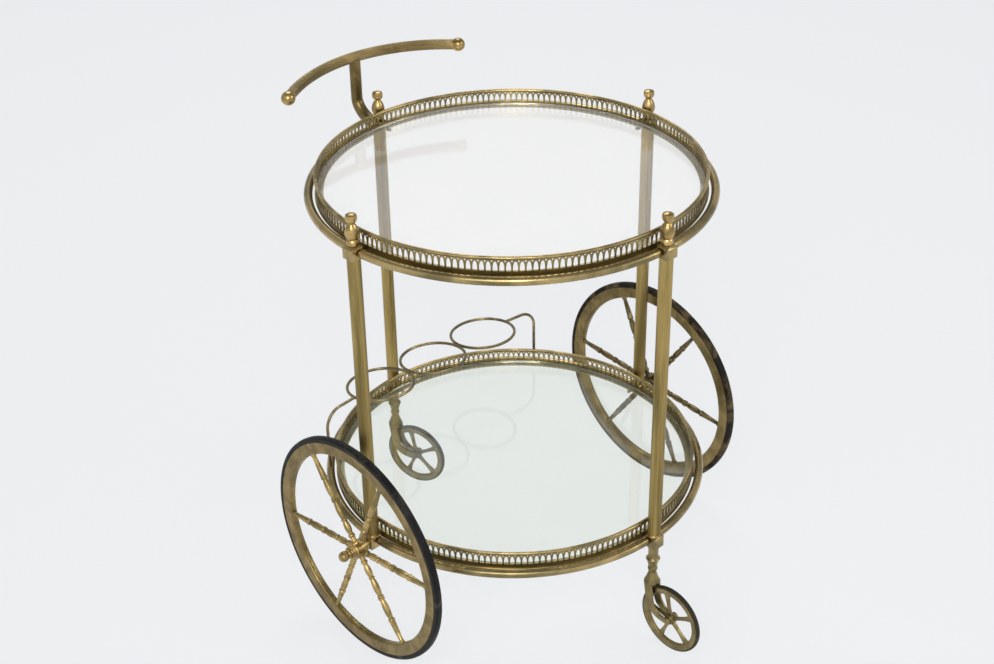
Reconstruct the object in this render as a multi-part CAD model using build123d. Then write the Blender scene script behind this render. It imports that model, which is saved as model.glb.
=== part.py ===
from build123d import *
from math import asin, cos, degrees, hypot, pi, radians, sin, sqrt
import os

os.makedirs("parts", exist_ok=True)

# frame
ring_radius = 257.3
ring_tube_radius = 5.6
ring_end_round = 3.4
upper_ring_z = 588.0
lower_ring_z = 163.5
post_offset = 2.7
post_radius = 8.65
post_reeds = 20
post_reed_depth = 0.45
block_offset = 3.5
block_side = 18.2
block_height = 17.1
block_corner = 1.2
block_edge = 0.6
upper_block_bevel = 3.3
upper_block_drop = 8.3
lower_block_drop = 11.2
collar_radius = 9.4
collar_height = 3.6
collar_clearance = 0.05
finial_bead = 7.6
finial_waist = 6.2
finial_pear = 8.8
finial_neck = 4.4
finial_knob = 7.3
finial_height = 43.0

# trays, the gallery follows the ring and everything else follows the gallery
gallery_inset = 8.1
gallery_thick = 1.3
gallery_gap = 0.1
rail_radius = 2.25
rail_top = 26.4
pin_radius = 2.4
pin_drop = 3.5
pin_reach = 13.7
tray_ring_width = 11.2
tray_ring_thick = 2.0
glass_inset = 4.9
glass_thick = 5.0
glass_edge = 0.4
openings_per_quarter = 50
opening_bottom = 7.6
opening_top = 19.9
opening_half_foot = 2.8
opening_half_waist = 2.35
opening_half_head = 0.9
eye_half = 1.25
eye_bottom = 18.6
eye_top = 21.2

# handle
handle_reach = 35.1
handle_rise = 86.1
handle_arc = 229.0
handle_half_angle = 36.4
handle_yaw = -3.3
handle_tilt = 5.6
bar_radius = 7.1
bar_reeds = 18
bar_reed_depth = 0.4
ball_radius = 9.4
stem_radius = 7.9
stem_root_radius = 8.8
stem_root_lift = 0.4

# bottle holder
wire_radius = 2.15
bottle_ring_radius = 47.1
bottle_ring_gap = 0.05
holder_inset = 90.3
holder_rise = 89.5
holder_tilt = 5.3
arm_azimuth = 39.0
arm_bend = 25.0

# large wheels
wheel_offset = 15.3
wheel_radius = 159.5
tyre_radial = 8.0
tyre_half = 4.8
rim_half = 5.2
rim_inner = 136.0
rim_flange = 1.0
rim_round = 3.2
rim_hollow = 0.5
rim_groove_half = 4.0
hub_half_seat = 4.6
hub_seat_radius = 11.0
hub_barrel_radius = 11.7
hub_end_radius = 8.5
hub_inner_length = 12.0
hub_outer_length = 14.4
end_play = 0.2
axle_radius = 4.0
running_clearance = 0.05
sleeve_radius = 6.5
stud_radius = 2.5
stud_length = 4.0
cap_flange = 7.0
cap_neck = 5.0
cap_ball_radius = 7.2
cap_length = 16.0
spoke_count = 6
spoke_body = 4.5
spoke_neck = 3.1
spoke_ring = 4.7
left_spoke_phase = -6.5
right_spoke_phase = 5.7

# casters
stem_length = 42.8
caster_neck = 6.8
caster_bead = 9.3
caster_throat = 5.4
caster_ring = 6.5
pintle_radius = 4.0
pintle_length = 36.7
swivel_gap = 0.25
crown_radius = 10.8
crown_cone = 14.8
crown_height = 8.0
caster_trail = 35.0
caster_radius = 48.5
caster_tyre_radial = 2.8
caster_half = 3.4
caster_rim_inner = 38.0
caster_hub_radius = 7.6
caster_web_half = 1.9
web_waist = 2.3
web_foot = 4.6
caster_spokes = 5
caster_phase = 78.0
leg_inside = 6.0
leg_thick = 3.2
leg_half_width = 7.0
leg_end_radius = 5.4
pin_shaft_radius = 3.0
pin_head_radius = 4.6
pin_head = 2.0
wheel_clearance = 1.2
back_caster_turn = 18.0

# places that follow from the sizes above
post_circle = ring_radius + post_offset
block_centre = ring_radius + block_offset
block_outer = block_centre + block_side / 2
block_inner = block_centre - block_side / 2
upper_block_bottom = upper_ring_z - upper_block_drop
lower_block_bottom = lower_ring_z - lower_block_drop
upper_block_top = upper_block_bottom + block_height
lower_block_top = lower_block_bottom + block_height
gallery_outer = ring_radius - gallery_inset
handle_y = block_outer + handle_reach
stem_root_z = upper_ring_z + stem_root_lift
handle_z = stem_root_z + handle_rise
wheel_plane = block_outer + wheel_offset
back_reach = handle_y + handle_arc * (1 - cos(radians(handle_yaw))) * cos(radians(handle_tilt)) + bar_radius
front_reach = post_circle + caster_trail + caster_radius
centre_shift = (front_reach - back_reach) / 2


def save(name, shape):
    export_step(Location((0, centre_shift, 0)) * shape, f"parts/{name}.step")


def bundle(shapes):
    return Compound(children=list(shapes))


def around(shape, angles):
    return [Rotation(0, 0, angle) * shape for angle in angles]


def half_outline(points):
    # points are (radius, height), four numbers make an arc through the first pair to the second pair
    edges = []
    here = points[0]
    for point in points[1:]:
        end = point[-2:]
        if len(point) == 4:
            via = (point[0], 0, point[1])
            edges.append(Edge.make_three_point_arc((here[0], 0, here[1]), via, (end[0], 0, end[1])))
        else:
            edges.append(Edge.make_line((here[0], 0, here[1]), (end[0], 0, end[1])))
        here = end
    if here != points[0]:
        edges.append(Edge.make_line((here[0], 0, here[1]), (points[0][0], 0, points[0][1])))
    return Face(Wire(edges))


def turned(points, angle=360):
    return revolve(half_outline(points), Axis.Z, angle)


def dome(radius, height, top, way=1):
    # (radius, height) pairs for a spherical cap over a flat round, the way is 1 for up and -1 for down
    sphere = (radius**2 + height**2) / (2 * height)
    half = asin(radius / sphere) / 2
    return sphere * sin(half), top - way * sphere * (1 - cos(half))


def turned_outward(points):
    # the same outline turned about X, heights become distances along +X
    return Rotation(0, 90, 0) * turned(points)


def reeded_face(radius, reeds, depth):
    edges = []
    step = 2 * pi / reeds
    for i in range(reeds):
        start, middle, end = i * step, (i + 0.5) * step, (i + 1) * step
        valley = radius - depth
        edges.append(
            Edge.make_three_point_arc(
                (valley * cos(start), valley * sin(start), 0),
                (radius * cos(middle), radius * sin(middle), 0),
                (valley * cos(end), valley * sin(end), 0),
            )
        )
    return Face(Wire(edges))


quarters = [0, 90, 180, 270]

# posts stand on the lower blocks and carry the upper ones
post_length = upper_block_bottom - lower_block_top
post = extrude(reeded_face(post_radius, post_reeds, post_reed_depth), post_length)
post = Location((post_circle, 0, lower_block_top)) * post
save("posts", bundle(around(post, quarters)))

# collar with two fine beads
collar_bore = post_radius + collar_clearance
collar_wall = collar_radius - collar_bore
collar = turned(
    [
        (collar_bore, 0),
        (collar_bore + 0.5 * collar_wall, 0),
        (collar_radius, 0.25 * collar_height, collar_bore + 0.5 * collar_wall, 0.5 * collar_height),
        (collar_radius - 0.15, 0.74 * collar_height, collar_bore + 0.4 * collar_wall, collar_height),
        (collar_bore, collar_height),
    ]
)
collar = Location((post_circle, 0, lower_block_top)) * collar
save("post_collars", bundle(around(collar, quarters)))



def square_block(top_bevel):
    block = Box(block_side, block_side, block_height, align=(Align.CENTER, Align.CENTER, Align.MIN))
    block = chamfer(block.faces().sort_by(Axis.Z)[-1].edges(), top_bevel)
    block = chamfer(block.faces().sort_by(Axis.Z)[0].edges(), block_edge)
    corner_x = block_side / 2 - block_corner
    corner = Face(Wire.make_polygon([(corner_x, block_side), (block_side, block_side), (block_side, corner_x)]))
    return block - around(extrude(corner, block_height, dir=(0, 0, 1)), quarters)


# the upper blocks have a wide bevel under the finial, the lower ones only a broken edge
upper_block = Location((block_centre, 0, upper_block_bottom)) * square_block(upper_block_bevel)
lower_block = Location((block_centre, 0, lower_block_bottom)) * square_block(2 * block_edge)
save("upper_blocks", bundle(around(upper_block, quarters)))
save("lower_blocks", bundle(around(lower_block, quarters)))

# finial: bead, waist, pear, neck and knob in one turning
h = finial_height
finial = turned(
    [
        (0, 0),
        (0.9 * finial_bead, 0),
        (finial_bead, 0.065 * h, 0.86 * finial_bead, 0.135 * h),
        (finial_waist, 0.155 * h),
        (1.05 * finial_waist, 0.175 * h),
        (0.95 * finial_pear, 0.25 * h, finial_pear, 0.335 * h),
        (0.82 * finial_pear, 0.47 * h, 1.12 * finial_neck, 0.6 * h),
        (finial_neck, 0.645 * h, 1.1 * finial_neck, 0.69 * h),
        (0.88 * finial_knob, 0.765 * h),
        (finial_knob, 0.86 * h, 0.88 * finial_knob, 0.93 * h),
        (*dome(0.88 * finial_knob, 0.07 * h, h), 0, h),
    ]
)
finial = Location((post_circle, 0, upper_block_top)) * finial
save("finials", bundle(around(finial, quarters)))

# ring tubes run as quarter arcs from block to block, each end rounded against the block
ring_start = degrees(asin(block_side / 2 / ring_radius))
ring_circle = Plane.XZ * Location((ring_radius, 0)) * Circle(ring_tube_radius)
ring_arc = revolve(ring_circle, Axis.Z, 90 - 2 * ring_start)
ring_arc = Rotation(0, 0, ring_start) * fillet(ring_arc.faces().filter_by(GeomType.PLANE).edges(), ring_end_round)
block_space = Location((block_centre, 0, 0)) * Box(block_side, block_side, 4 * ring_tube_radius)
ring_arc = ring_arc - around(block_space, [0, 90])
save("upper_ring", bundle(around(Location((0, 0, upper_ring_z)) * ring_arc, quarters)))
save("lower_ring", bundle(around(Location((0, 0, lower_ring_z)) * ring_arc, quarters)))

# support pins with round noses
pin_tip_circle = gallery_outer - pin_reach
pin_length = block_inner - pin_tip_circle
pin_nose = pin_radius - 0.4
tray_pin = turned_outward(
    [
        (0, 0),
        (*dome(pin_radius, pin_nose, 0, -1), pin_radius, pin_nose),
        (pin_radius, pin_length),
        (0, pin_length),
    ]
)
pins = []
for ring_z in (upper_ring_z, lower_ring_z):
    pins += around(Location((pin_tip_circle, 0, ring_z - pin_drop)) * tray_pin, quarters)
save("tray_pins", bundle(pins))

# trays, heights measured from the centre of the ring tube
tray_bottom = pin_radius - pin_drop
tray_ring_inner = gallery_outer - tray_ring_width
glass_radius = gallery_outer - glass_inset
glass_bottom = tray_bottom + tray_ring_thick
glass_top = glass_bottom + glass_thick
rail_z = rail_top - rail_radius
rail_circle = gallery_outer - rail_radius
strip_outer = rail_circle + gallery_thick / 2
strip_inner = rail_circle - gallery_thick / 2
strip_top = rail_z - rail_radius - gallery_gap
tray_ring = turned(
    [
        (tray_ring_inner, tray_bottom),
        (gallery_outer - 0.5, tray_bottom),
        (gallery_outer, tray_bottom + 0.5),
        (gallery_outer, glass_bottom),
        (tray_ring_inner, glass_bottom),
    ]
)
rail = Location((0, 0, rail_z)) * Torus(rail_circle, rail_radius)
glass = turned(
    [
        (0, glass_bottom),
        (glass_radius - glass_edge, glass_bottom),
        (glass_radius, glass_bottom + glass_edge),
        (glass_radius, glass_top - glass_edge),
        (glass_radius - glass_edge, glass_top),
        (0, glass_top),
    ]
)

strip = turned(
    [
        (strip_inner, glass_bottom),
        (strip_outer, glass_bottom),
        (strip_outer, strip_top),
        (strip_inner, strip_top),
    ],
    90,
)

# bell-shaped opening, wide at the foot, and a small eye over every picket
opening_waist = opening_bottom + 0.62 * (opening_top - opening_bottom)
cut_plane = Plane(origin=(strip_inner - 2, 0, 0), x_dir=(0, 1, 0), z_dir=(1, 0, 0))
opening_half = [
    (opening_half_foot, opening_bottom),
    (opening_half_waist, opening_waist),
    (opening_half_head, opening_top),
]
opening = Face(Wire.make_polygon(opening_half + [(-x, z) for x, z in reversed(opening_half)], close=True))
eye = Face(Wire.make_polygon([(0, eye_bottom), (eye_half, eye_top), (-eye_half, eye_top)], close=True))
cut_depth = gallery_thick + 4
opening_cut = extrude(cut_plane * opening, cut_depth, dir=(1, 0, 0))
eye_cut = extrude(cut_plane * eye, cut_depth, dir=(1, 0, 0))
pitch = 90 / openings_per_quarter
cuts = around(opening_cut, [(i + 0.5) * pitch for i in range(openings_per_quarter)])
cuts += around(eye_cut, [i * pitch for i in range(openings_per_quarter + 1)])
strip = strip - cuts
strips = around(strip, quarters)

for name, ring_z in (("upper", upper_ring_z), ("lower", lower_ring_z)):
    place = Location((0, 0, ring_z))
    save(f"{name}_tray_ring", place * tray_ring)
    save(f"{name}_gallery", bundle([place * piece for piece in strips]))
    save(f"{name}_rail", place * rail)
    save(f"{name}_glass", place * glass)

# handle bar: reeded, curved in plan, turned and tilted a little about the top of its stem
bar_section = Plane.YZ * reeded_face(bar_radius, bar_reeds, bar_reed_depth)
bar = revolve(bar_section, Axis((0, -handle_arc, 0), (0, 0, 1)), 2 * handle_half_angle)
bar = Location((0, -handle_arc, 0)) * Rotation(0, 0, -handle_half_angle) * Location((0, handle_arc, 0)) * bar
bar_place = Location((0, handle_y, handle_z)) * Rotation(0, 0, handle_yaw) * Rotation(handle_tilt, 0, 0)
save("handle_bar", bar_place * bar)
balls = []
for side in (-1, 1):
    end_angle = radians(handle_half_angle) + (ball_radius - 1.5) / handle_arc
    end_x = side * handle_arc * sin(end_angle)
    end_y = handle_arc * (cos(end_angle) - 1)
    balls.append(Location((end_x, end_y, 0)) * Sphere(ball_radius))
balls = [ball - bar for ball in balls]
save("handle_balls", bundle([bar_place * ball for ball in balls]))

# cast elbow from the back block up to a saddle under the bar
stem_bend_top = stem_root_z + 0.32 * handle_rise
elbow_start = (0, block_outer, stem_root_z)
elbow_end = (0, handle_y, stem_bend_top)
elbow_path = Edge.make_spline([elbow_start, elbow_end], tangents=[(0, 1, 0), (0, 0, 1)])
elbow = sweep(
    [
        Plane(origin=elbow_start, z_dir=(0, 1, 0)) * Circle(stem_root_radius),
        Plane(origin=elbow_end, z_dir=(0, 0, 1)) * Circle(stem_radius),
    ],
    path=elbow_path,
    multisection=True,
)
riser = Location(elbow_end) * extrude(Circle(stem_radius), handle_z - 0.45 * bar_radius - stem_bend_top)
bar_envelope = bar_place * Location((0, -handle_arc, 0)) * Torus(handle_arc, bar_radius)
stem = elbow + (riser - bar_envelope)
save("handle_stem", stem)

# bottle holder: three rings in one tilted plane, arms down to the lower ring tube
holder_y = ring_radius - holder_inset
holder_z = lower_ring_z + holder_rise
ring_step = 2 * (bottle_ring_radius + wire_radius) + bottle_ring_gap
holder_place = Location((0, holder_y, holder_z)) * Rotation(-holder_tilt, 0, 0)
one_ring = Torus(bottle_ring_radius, wire_radius)
bottle_rings = [holder_place * Location((i * ring_step, 0, 0)) * one_ring for i in (-1, 0, 1)]
for name, ring in zip(("left", "middle", "right"), bottle_rings):
    save(f"{name}_bottle_ring", ring)

arm_foot_x = ring_radius * cos(radians(arm_azimuth))
arm_foot_y = ring_radius * sin(radians(arm_azimuth))
arm_head_x = ring_step + bottle_ring_radius
run = hypot(arm_foot_x - arm_head_x, arm_foot_y - holder_y)
run_x = (arm_foot_x - arm_head_x) / run
run_y = (arm_foot_y - holder_y) / run
bend_from = (arm_foot_x - arm_bend * run_x, arm_foot_y - arm_bend * run_y)
bend_mid = arm_bend * (1 - sqrt(0.5))
arm_path = Wire(
    [
        Edge.make_line((arm_head_x, holder_y, holder_z), (bend_from[0], bend_from[1], holder_z)),
        Edge.make_three_point_arc(
            (bend_from[0], bend_from[1], holder_z),
            (arm_foot_x - bend_mid * run_x, arm_foot_y - bend_mid * run_y, holder_z - bend_mid),
            (arm_foot_x, arm_foot_y, holder_z - arm_bend),
        ),
        Edge.make_line((arm_foot_x, arm_foot_y, holder_z - arm_bend), (arm_foot_x, arm_foot_y, lower_ring_z)),
    ]
)
arm_section = Plane(origin=(arm_head_x, holder_y, holder_z), z_dir=(run_x, run_y, 0)) * Circle(wire_radius)
arm = sweep(arm_section, path=arm_path)
arm = arm - bottle_rings[2] - Location((0, 0, lower_ring_z)) * Torus(ring_radius, ring_tube_radius)
arm = arm.solids().sort_by(SortBy.VOLUME)[-1]
save("bottle_arms", bundle([arm, mirror(arm, Plane.YZ)]))

# large wheels, built about the X axis through the origin of the wheel plane and set on the right side
groove_radius = wheel_radius - tyre_radial
flange_radius = groove_radius + rim_flange
tyre_wall = flange_radius + 0.1
tyre_outline = [
    (groove_radius, 0.05 - rim_groove_half),
    (tyre_wall, 0.05 - rim_groove_half),
    (tyre_wall, 0.3 - tyre_half),
    (tyre_wall + 0.5, -tyre_half),
    (wheel_radius - 2.4, -tyre_half),
    (wheel_radius - 0.7, -0.8 * tyre_half, wheel_radius - 0.3, -0.5 * tyre_half),
    (wheel_radius, 0, wheel_radius - 0.3, 0.5 * tyre_half),
    (wheel_radius - 0.7, 0.8 * tyre_half, wheel_radius - 2.4, tyre_half),
    (tyre_wall + 0.5, tyre_half),
    (tyre_wall, tyre_half - 0.3),
    (tyre_wall, rim_groove_half - 0.05),
    (groove_radius, rim_groove_half - 0.05),
]
# flat rim with hollowed faces and a round inner edge
rim_middle = (rim_inner + rim_round + flange_radius) / 2
round_in = rim_round * (1 - sqrt(0.5))
rim_outline = [
    (groove_radius, -rim_groove_half),
    (flange_radius, -rim_groove_half),
    (flange_radius, 0.4 - rim_half),
    (flange_radius - 0.6, -rim_half),
    (rim_middle, rim_hollow - rim_half, rim_inner + rim_round, -rim_half),
    (rim_inner + round_in, round_in - rim_half, rim_inner, rim_round - rim_half),
    (rim_inner, rim_half - rim_round),
    (rim_inner + round_in, rim_half - round_in, rim_inner + rim_round, rim_half),
    (rim_middle, rim_half - rim_hollow, flange_radius - 0.6, rim_half),
    (flange_radius, rim_half - 0.4),
    (flange_radius, rim_groove_half),
    (groove_radius, rim_groove_half),
]
tyre = turned_outward(tyre_outline)
rim = turned_outward(rim_outline)

hub_bore = axle_radius + running_clearance
hub = turned_outward(
    [
        (hub_bore, -hub_inner_length),
        (hub_end_radius, -hub_inner_length),
        (hub_end_radius, -0.83 * hub_inner_length),
        (0.88 * hub_end_radius, -0.7 * hub_inner_length, 1.05 * hub_end_radius, -hub_half_seat - 1.4),
        (hub_seat_radius + 0.6, -hub_half_seat - 1.4),
        (hub_seat_radius + 0.6, -hub_half_seat),
        (hub_seat_radius, -hub_half_seat),
        (hub_seat_radius, hub_half_seat),
        (hub_barrel_radius, hub_half_seat + 2.2, hub_seat_radius - 0.6, hub_half_seat + 4.4),
        (0.91 * hub_end_radius, hub_half_seat + 5.8, 0.91 * hub_end_radius, hub_outer_length - 2.4),
        (hub_end_radius, hub_outer_length - 1.2, 0.93 * hub_end_radius, hub_outer_length),
        (hub_bore, hub_outer_length),
    ]
)

# one turned spoke along +Z: beads, three swelling bodies, rings and a plain taper to a ball at the rim
r = rim_inner
spoke = turned(
    [
        (0, hub_seat_radius - 1.5),
        (1.15 * spoke_neck, hub_seat_radius - 1.5),
        (1.15 * spoke_neck, 0.125 * r),
        (spoke_ring, 0.142 * r, 1.12 * spoke_neck, 0.159 * r),
        (spoke_neck, 0.17 * r),
        (spoke_body, 0.234 * r, spoke_neck, 0.296 * r),
        (spoke_ring - 0.3, 0.31 * r, spoke_neck, 0.323 * r),
        (spoke_body, 0.412 * r, spoke_neck, 0.497 * r),
        (spoke_ring, 0.509 * r, spoke_neck + 0.5, 0.521 * r),
        (spoke_ring, 0.533 * r, spoke_neck, 0.545 * r),
        (spoke_body, 0.642 * r, spoke_neck, 0.74 * r),
        (spoke_ring, 0.753 * r, 0.93 * spoke_body, 0.766 * r),
        (0.88 * spoke_neck, 0.974 * r),
        (1.2 * spoke_neck, 0.99 * r, spoke_neck, r + 3),
        (0, r + 3),
    ]
)
spoke = spoke - rim - Rotation(0, 90, 0) * Cylinder(hub_seat_radius, 3 * hub_half_seat)
spoke = spoke.solids().sort_by(SortBy.VOLUME)[-1]


def spokes_at(phase):
    # phase counts from +Y toward +Z
    return [Rotation(phase - 90 + i * 360 / spoke_count, 0, 0) * spoke for i in range(spoke_count)]


# ball nut on the stud, the ball meets its neck where it is as wide as the neck
cap_face = hub_outer_length + end_play
cap_end = cap_face + cap_length
cap_ball_start = cap_end - cap_ball_radius - sqrt(cap_ball_radius**2 - cap_neck**2)
cap = turned_outward(
    [
        (stud_radius + running_clearance, cap_face),
        (cap_flange, cap_face),
        (cap_flange, cap_face + 1.5),
        (cap_neck + 0.3, cap_face + 2.3, cap_neck, cap_ball_start),
        (cap_ball_radius, cap_end - cap_ball_radius, 0, cap_end),
        (0, cap_face + stud_length + end_play),
        (stud_radius + running_clearance, cap_face + stud_length + end_play),
    ]
)
sleeve_face = -hub_inner_length - end_play
axle = turned_outward(
    [
        (0, -wheel_offset),
        (sleeve_radius, -wheel_offset),
        (sleeve_radius, sleeve_face),
        (axle_radius, sleeve_face),
        (axle_radius, cap_face),
        (stud_radius, cap_face),
        (stud_radius, cap_face + stud_length),
        (0, cap_face + stud_length),
    ]
)
right_place = Location((wheel_plane, 0, wheel_radius))
left_place = Location((-wheel_plane, 0, wheel_radius)) * Rotation(0, 0, 180)
save("right_tyre", right_place * tyre)
save("right_rim", right_place * rim)
save("right_hub", right_place * hub)
save("right_spokes", right_place * bundle(spokes_at(right_spoke_phase)))
save("left_tyre", left_place * tyre)
save("left_rim", left_place * rim)
save("left_hub", left_place * hub)
save("left_spokes", left_place * bundle(spokes_at(180 - left_spoke_phase)))
save("wheel_axles", bundle([right_place * axle, left_place * axle]))
save("axle_caps", bundle([right_place * cap, left_place * cap]))

# caster stem: turned socket under the front and back blocks, bored for the swivel
swivel_bore = pintle_radius + running_clearance
stem_end = -stem_length
bore_top = stem_end + pintle_length + 2 * swivel_gap
caster_stem = turned(
    [
        (0, 0),
        (caster_neck + 0.7, 0),
        (caster_neck, 0.16 * stem_end, caster_neck, 0.31 * stem_end),
        (caster_neck + 0.5, 0.42 * stem_end, caster_bead, 0.48 * stem_end),
        (caster_bead, 0.51 * stem_end),
        (caster_neck + 0.4, 0.62 * stem_end, caster_neck - 0.4, 0.72 * stem_end),
        (caster_throat, 0.745 * stem_end),
        (caster_throat, 0.8 * stem_end),
        (caster_ring, 0.87 * stem_end, caster_throat + 0.3, 0.945 * stem_end),
        (caster_throat - 0.4, 0.965 * stem_end),
        (caster_throat - 0.4, stem_end),
        (swivel_bore, stem_end),
        (swivel_bore, bore_top),
        (0, bore_top),
    ]
)
stem_places = [Location((0, side * post_circle, lower_block_bottom)) for side in (-1, 1)]
save("caster_stems", bundle([place * caster_stem for place in stem_places]))

# fork: pintle and crown in one turning, two legs straight down and then back to the wheel centre
stem_end_z = lower_block_bottom - stem_length
crown_top_z = stem_end_z - swivel_gap
crown_z = crown_top_z - crown_cone
crown = turned(
    [
        (0, crown_z - crown_height),
        (crown_radius - 1.4, crown_z - crown_height),
        (crown_radius, crown_z - 0.4 * crown_height),
        (crown_radius, crown_z),
        (0.72 * crown_radius, crown_z + 0.45 * crown_cone, 0.49 * crown_radius, crown_top_z),
        (pintle_radius, crown_top_z),
        (pintle_radius, stem_end_z + pintle_length),
        (0, stem_end_z + pintle_length),
    ]
)
hub_y = -caster_trail
hub_z = caster_radius
leg_top = crown_z - 1
leg_drop = leg_top - hub_z
front_join = radians(-80)
back_join = radians(27)
front_end = (0, hub_y + leg_end_radius * cos(front_join), hub_z + leg_end_radius * sin(front_join))
back_end = (0, hub_y + leg_end_radius * cos(back_join), hub_z + leg_end_radius * sin(back_join))
front_edge = [
    (0, leg_half_width, leg_top),
    (0, -0.065 * hub_y, hub_z + 0.42 * leg_drop),
    (0, 0.086 * hub_y, hub_z + 0.115 * leg_drop),
    (0, 0.45 * hub_y, hub_z - 0.07 * leg_drop),
    front_end,
]
back_edge = [
    back_end,
    (0, 0.55 * hub_y, hub_z + 0.12 * leg_drop),
    (0, 0.31 * hub_y, hub_z + 0.35 * leg_drop),
    (0, 0.24 * hub_y, hub_z + 0.65 * leg_drop),
    (0, -leg_half_width, leg_top),
]
leg_outline = Face(
    Wire(
        [
            Edge.make_spline(front_edge),
            Edge.make_three_point_arc(front_end, (0, hub_y - leg_end_radius, hub_z), back_end),
            Edge.make_spline(back_edge),
            Edge.make_line(back_edge[-1], front_edge[0]),
        ]
    )
)
leg = extrude(leg_outline, leg_thick, dir=(1, 0, 0))
wheel_axis_place = Location((0, hub_y, hub_z)) * Rotation(0, 90, 0)
pin_hole = pin_shaft_radius + running_clearance
fork = crown - wheel_axis_place * Cylinder(caster_radius + wheel_clearance, 2 * leg_inside)
fork = fork + [Location((leg_inside, 0, 0)) * leg, Location((-leg_inside - leg_thick, 0, 0)) * leg]
fork = fork - wheel_axis_place * Cylinder(pin_hole, 3 * (leg_inside + leg_thick))

pin_half = leg_inside + leg_thick
pin_end = pin_half + pin_head
axle_pin = wheel_axis_place * turned(
    [
        (0, -pin_end),
        (*dome(pin_head_radius, pin_head, -pin_end, -1), pin_head_radius, -pin_half),
        (pin_shaft_radius, -pin_half),
        (pin_shaft_radius, pin_half),
        (pin_head_radius, pin_half),
        (*dome(pin_head_radius, pin_head, pin_end), 0, pin_end),
    ]
)

# caster wheel: rim, web with waisted spokes and hub in one casting, thin tyre around it
caster_rim_outer = caster_radius - caster_tyre_radial
caster_rim = turned(
    [
        (caster_rim_inner, -caster_web_half - 0.4),
        (caster_rim_inner + 1.8, 0.4 - caster_half, caster_rim_outer, 0.2 - caster_half),
        (caster_rim_outer, caster_half - 0.2),
        (caster_rim_inner + 1.8, caster_half - 0.4, caster_rim_inner, caster_web_half + 0.4),
    ]
)
caster_hub = Cylinder(caster_hub_radius, 2 * (leg_inside - end_play))
spoke_inner = caster_hub_radius - 1.5
spoke_outer = caster_rim_inner + 0.8
spoke_middle = (spoke_inner + spoke_outer) / 2
web_face = Face(
    Wire(
        [
            Edge.make_line((spoke_inner, 1 - web_foot), (spoke_inner, web_foot - 1)),
            Edge.make_three_point_arc(
                (spoke_inner, web_foot - 1), (spoke_middle, web_waist), (spoke_outer, web_foot)
            ),
            Edge.make_line((spoke_outer, web_foot), (spoke_outer, -web_foot)),
            Edge.make_three_point_arc(
                (spoke_outer, -web_foot), (spoke_middle, -web_waist), (spoke_inner, 1 - web_foot)
            ),
        ]
    )
)
web = Location((0, 0, -caster_web_half)) * extrude(web_face, 2 * caster_web_half, dir=(0, 0, 1))
webs = around(web, [i * 360 / caster_spokes for i in range(caster_spokes)])
caster_wheel = caster_rim + ([caster_hub] + webs)
caster_wheel = caster_wheel - Cylinder(pin_hole, 3 * leg_inside)
# the first spoke stands at the phase angle from +Y toward +Z
upright = Plane(origin=(0, hub_y, hub_z), x_dir=(0, 1, 0), z_dir=(1, 0, 0))
caster_wheel = upright * (Rotation(0, 0, caster_phase) * caster_wheel)
caster_tyre = wheel_axis_place * turned(
    [
        (caster_rim_outer, 0.2 - caster_half),
        (caster_radius - 0.7, 0.6 - caster_half),
        (caster_radius, 0, caster_radius - 0.7, caster_half - 0.6),
        (caster_rim_outer, caster_half - 0.2),
    ]
)
front_place = Location((0, -post_circle, 0))
back_place = Location((0, post_circle, 0)) * Rotation(0, 0, back_caster_turn)
for name, place in (("front", front_place), ("back", back_place)):
    save(f"{name}_fork", place * fork)
    save(f"{name}_caster_axle", place * axle_pin)
    save(f"{name}_caster_wheel", place * caster_wheel)
    save(f"{name}_caster_tyre", place * caster_tyre)
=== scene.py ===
from math import asin, atan2, cos, pi, radians, sin, sqrt
import bpy
import bmesh
from mathutils import Matrix, Vector


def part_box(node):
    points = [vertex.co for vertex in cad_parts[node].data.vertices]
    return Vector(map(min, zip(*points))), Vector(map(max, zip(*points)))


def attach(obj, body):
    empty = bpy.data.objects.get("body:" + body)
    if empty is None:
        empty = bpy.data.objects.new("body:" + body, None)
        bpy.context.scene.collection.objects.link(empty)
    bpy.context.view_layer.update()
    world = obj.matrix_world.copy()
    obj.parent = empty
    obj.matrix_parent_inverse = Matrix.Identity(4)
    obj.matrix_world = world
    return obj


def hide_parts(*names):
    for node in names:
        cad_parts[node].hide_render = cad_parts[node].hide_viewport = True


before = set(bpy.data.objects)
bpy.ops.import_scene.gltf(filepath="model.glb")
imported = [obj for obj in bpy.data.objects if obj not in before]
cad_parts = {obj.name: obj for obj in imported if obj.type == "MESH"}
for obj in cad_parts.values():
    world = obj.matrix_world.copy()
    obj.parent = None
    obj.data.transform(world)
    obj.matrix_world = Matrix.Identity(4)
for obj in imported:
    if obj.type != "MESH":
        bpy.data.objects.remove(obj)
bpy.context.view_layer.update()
print("frame loaded")

mm = 0.001
tiny = 1e-7  # metres, below this two points are one
up = Vector((0, 0, 1))


def placedAt(x, y, z):
    # millimetres
    return Matrix.Translation((x * mm, y * mm, z * mm))


def rotated(degrees, axis):
    return Matrix.Rotation(radians(degrees), 4, axis)


glassLow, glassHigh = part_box("upper_glass")
middleY = (glassLow.y + glassHigh.y) / 2  # the trays' own axis stands a little behind the origin
cartAxis = Matrix.Translation((0, middleY, 0))
unmoved = Matrix.Identity(4)
quarterTurns = [rotated(90 * i, "Z") for i in range(4)]


# small helpers for node trees
def addNode(tree, kind, **settings):
    node = tree.nodes.new(kind)
    for key, value in settings.items():
        if key in node.inputs:
            wire(tree, value, node.inputs[key])
        else:
            setattr(node, key, value)
    return node


def wire(tree, source, target):
    # the source is a node's output or a plain value, colours have three numbers
    if hasattr(source, "links"):
        tree.links.new(source, target)
    elif target.type == "RGBA":
        target.default_value = (*source, 1)
    else:
        target.default_value = source


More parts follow.
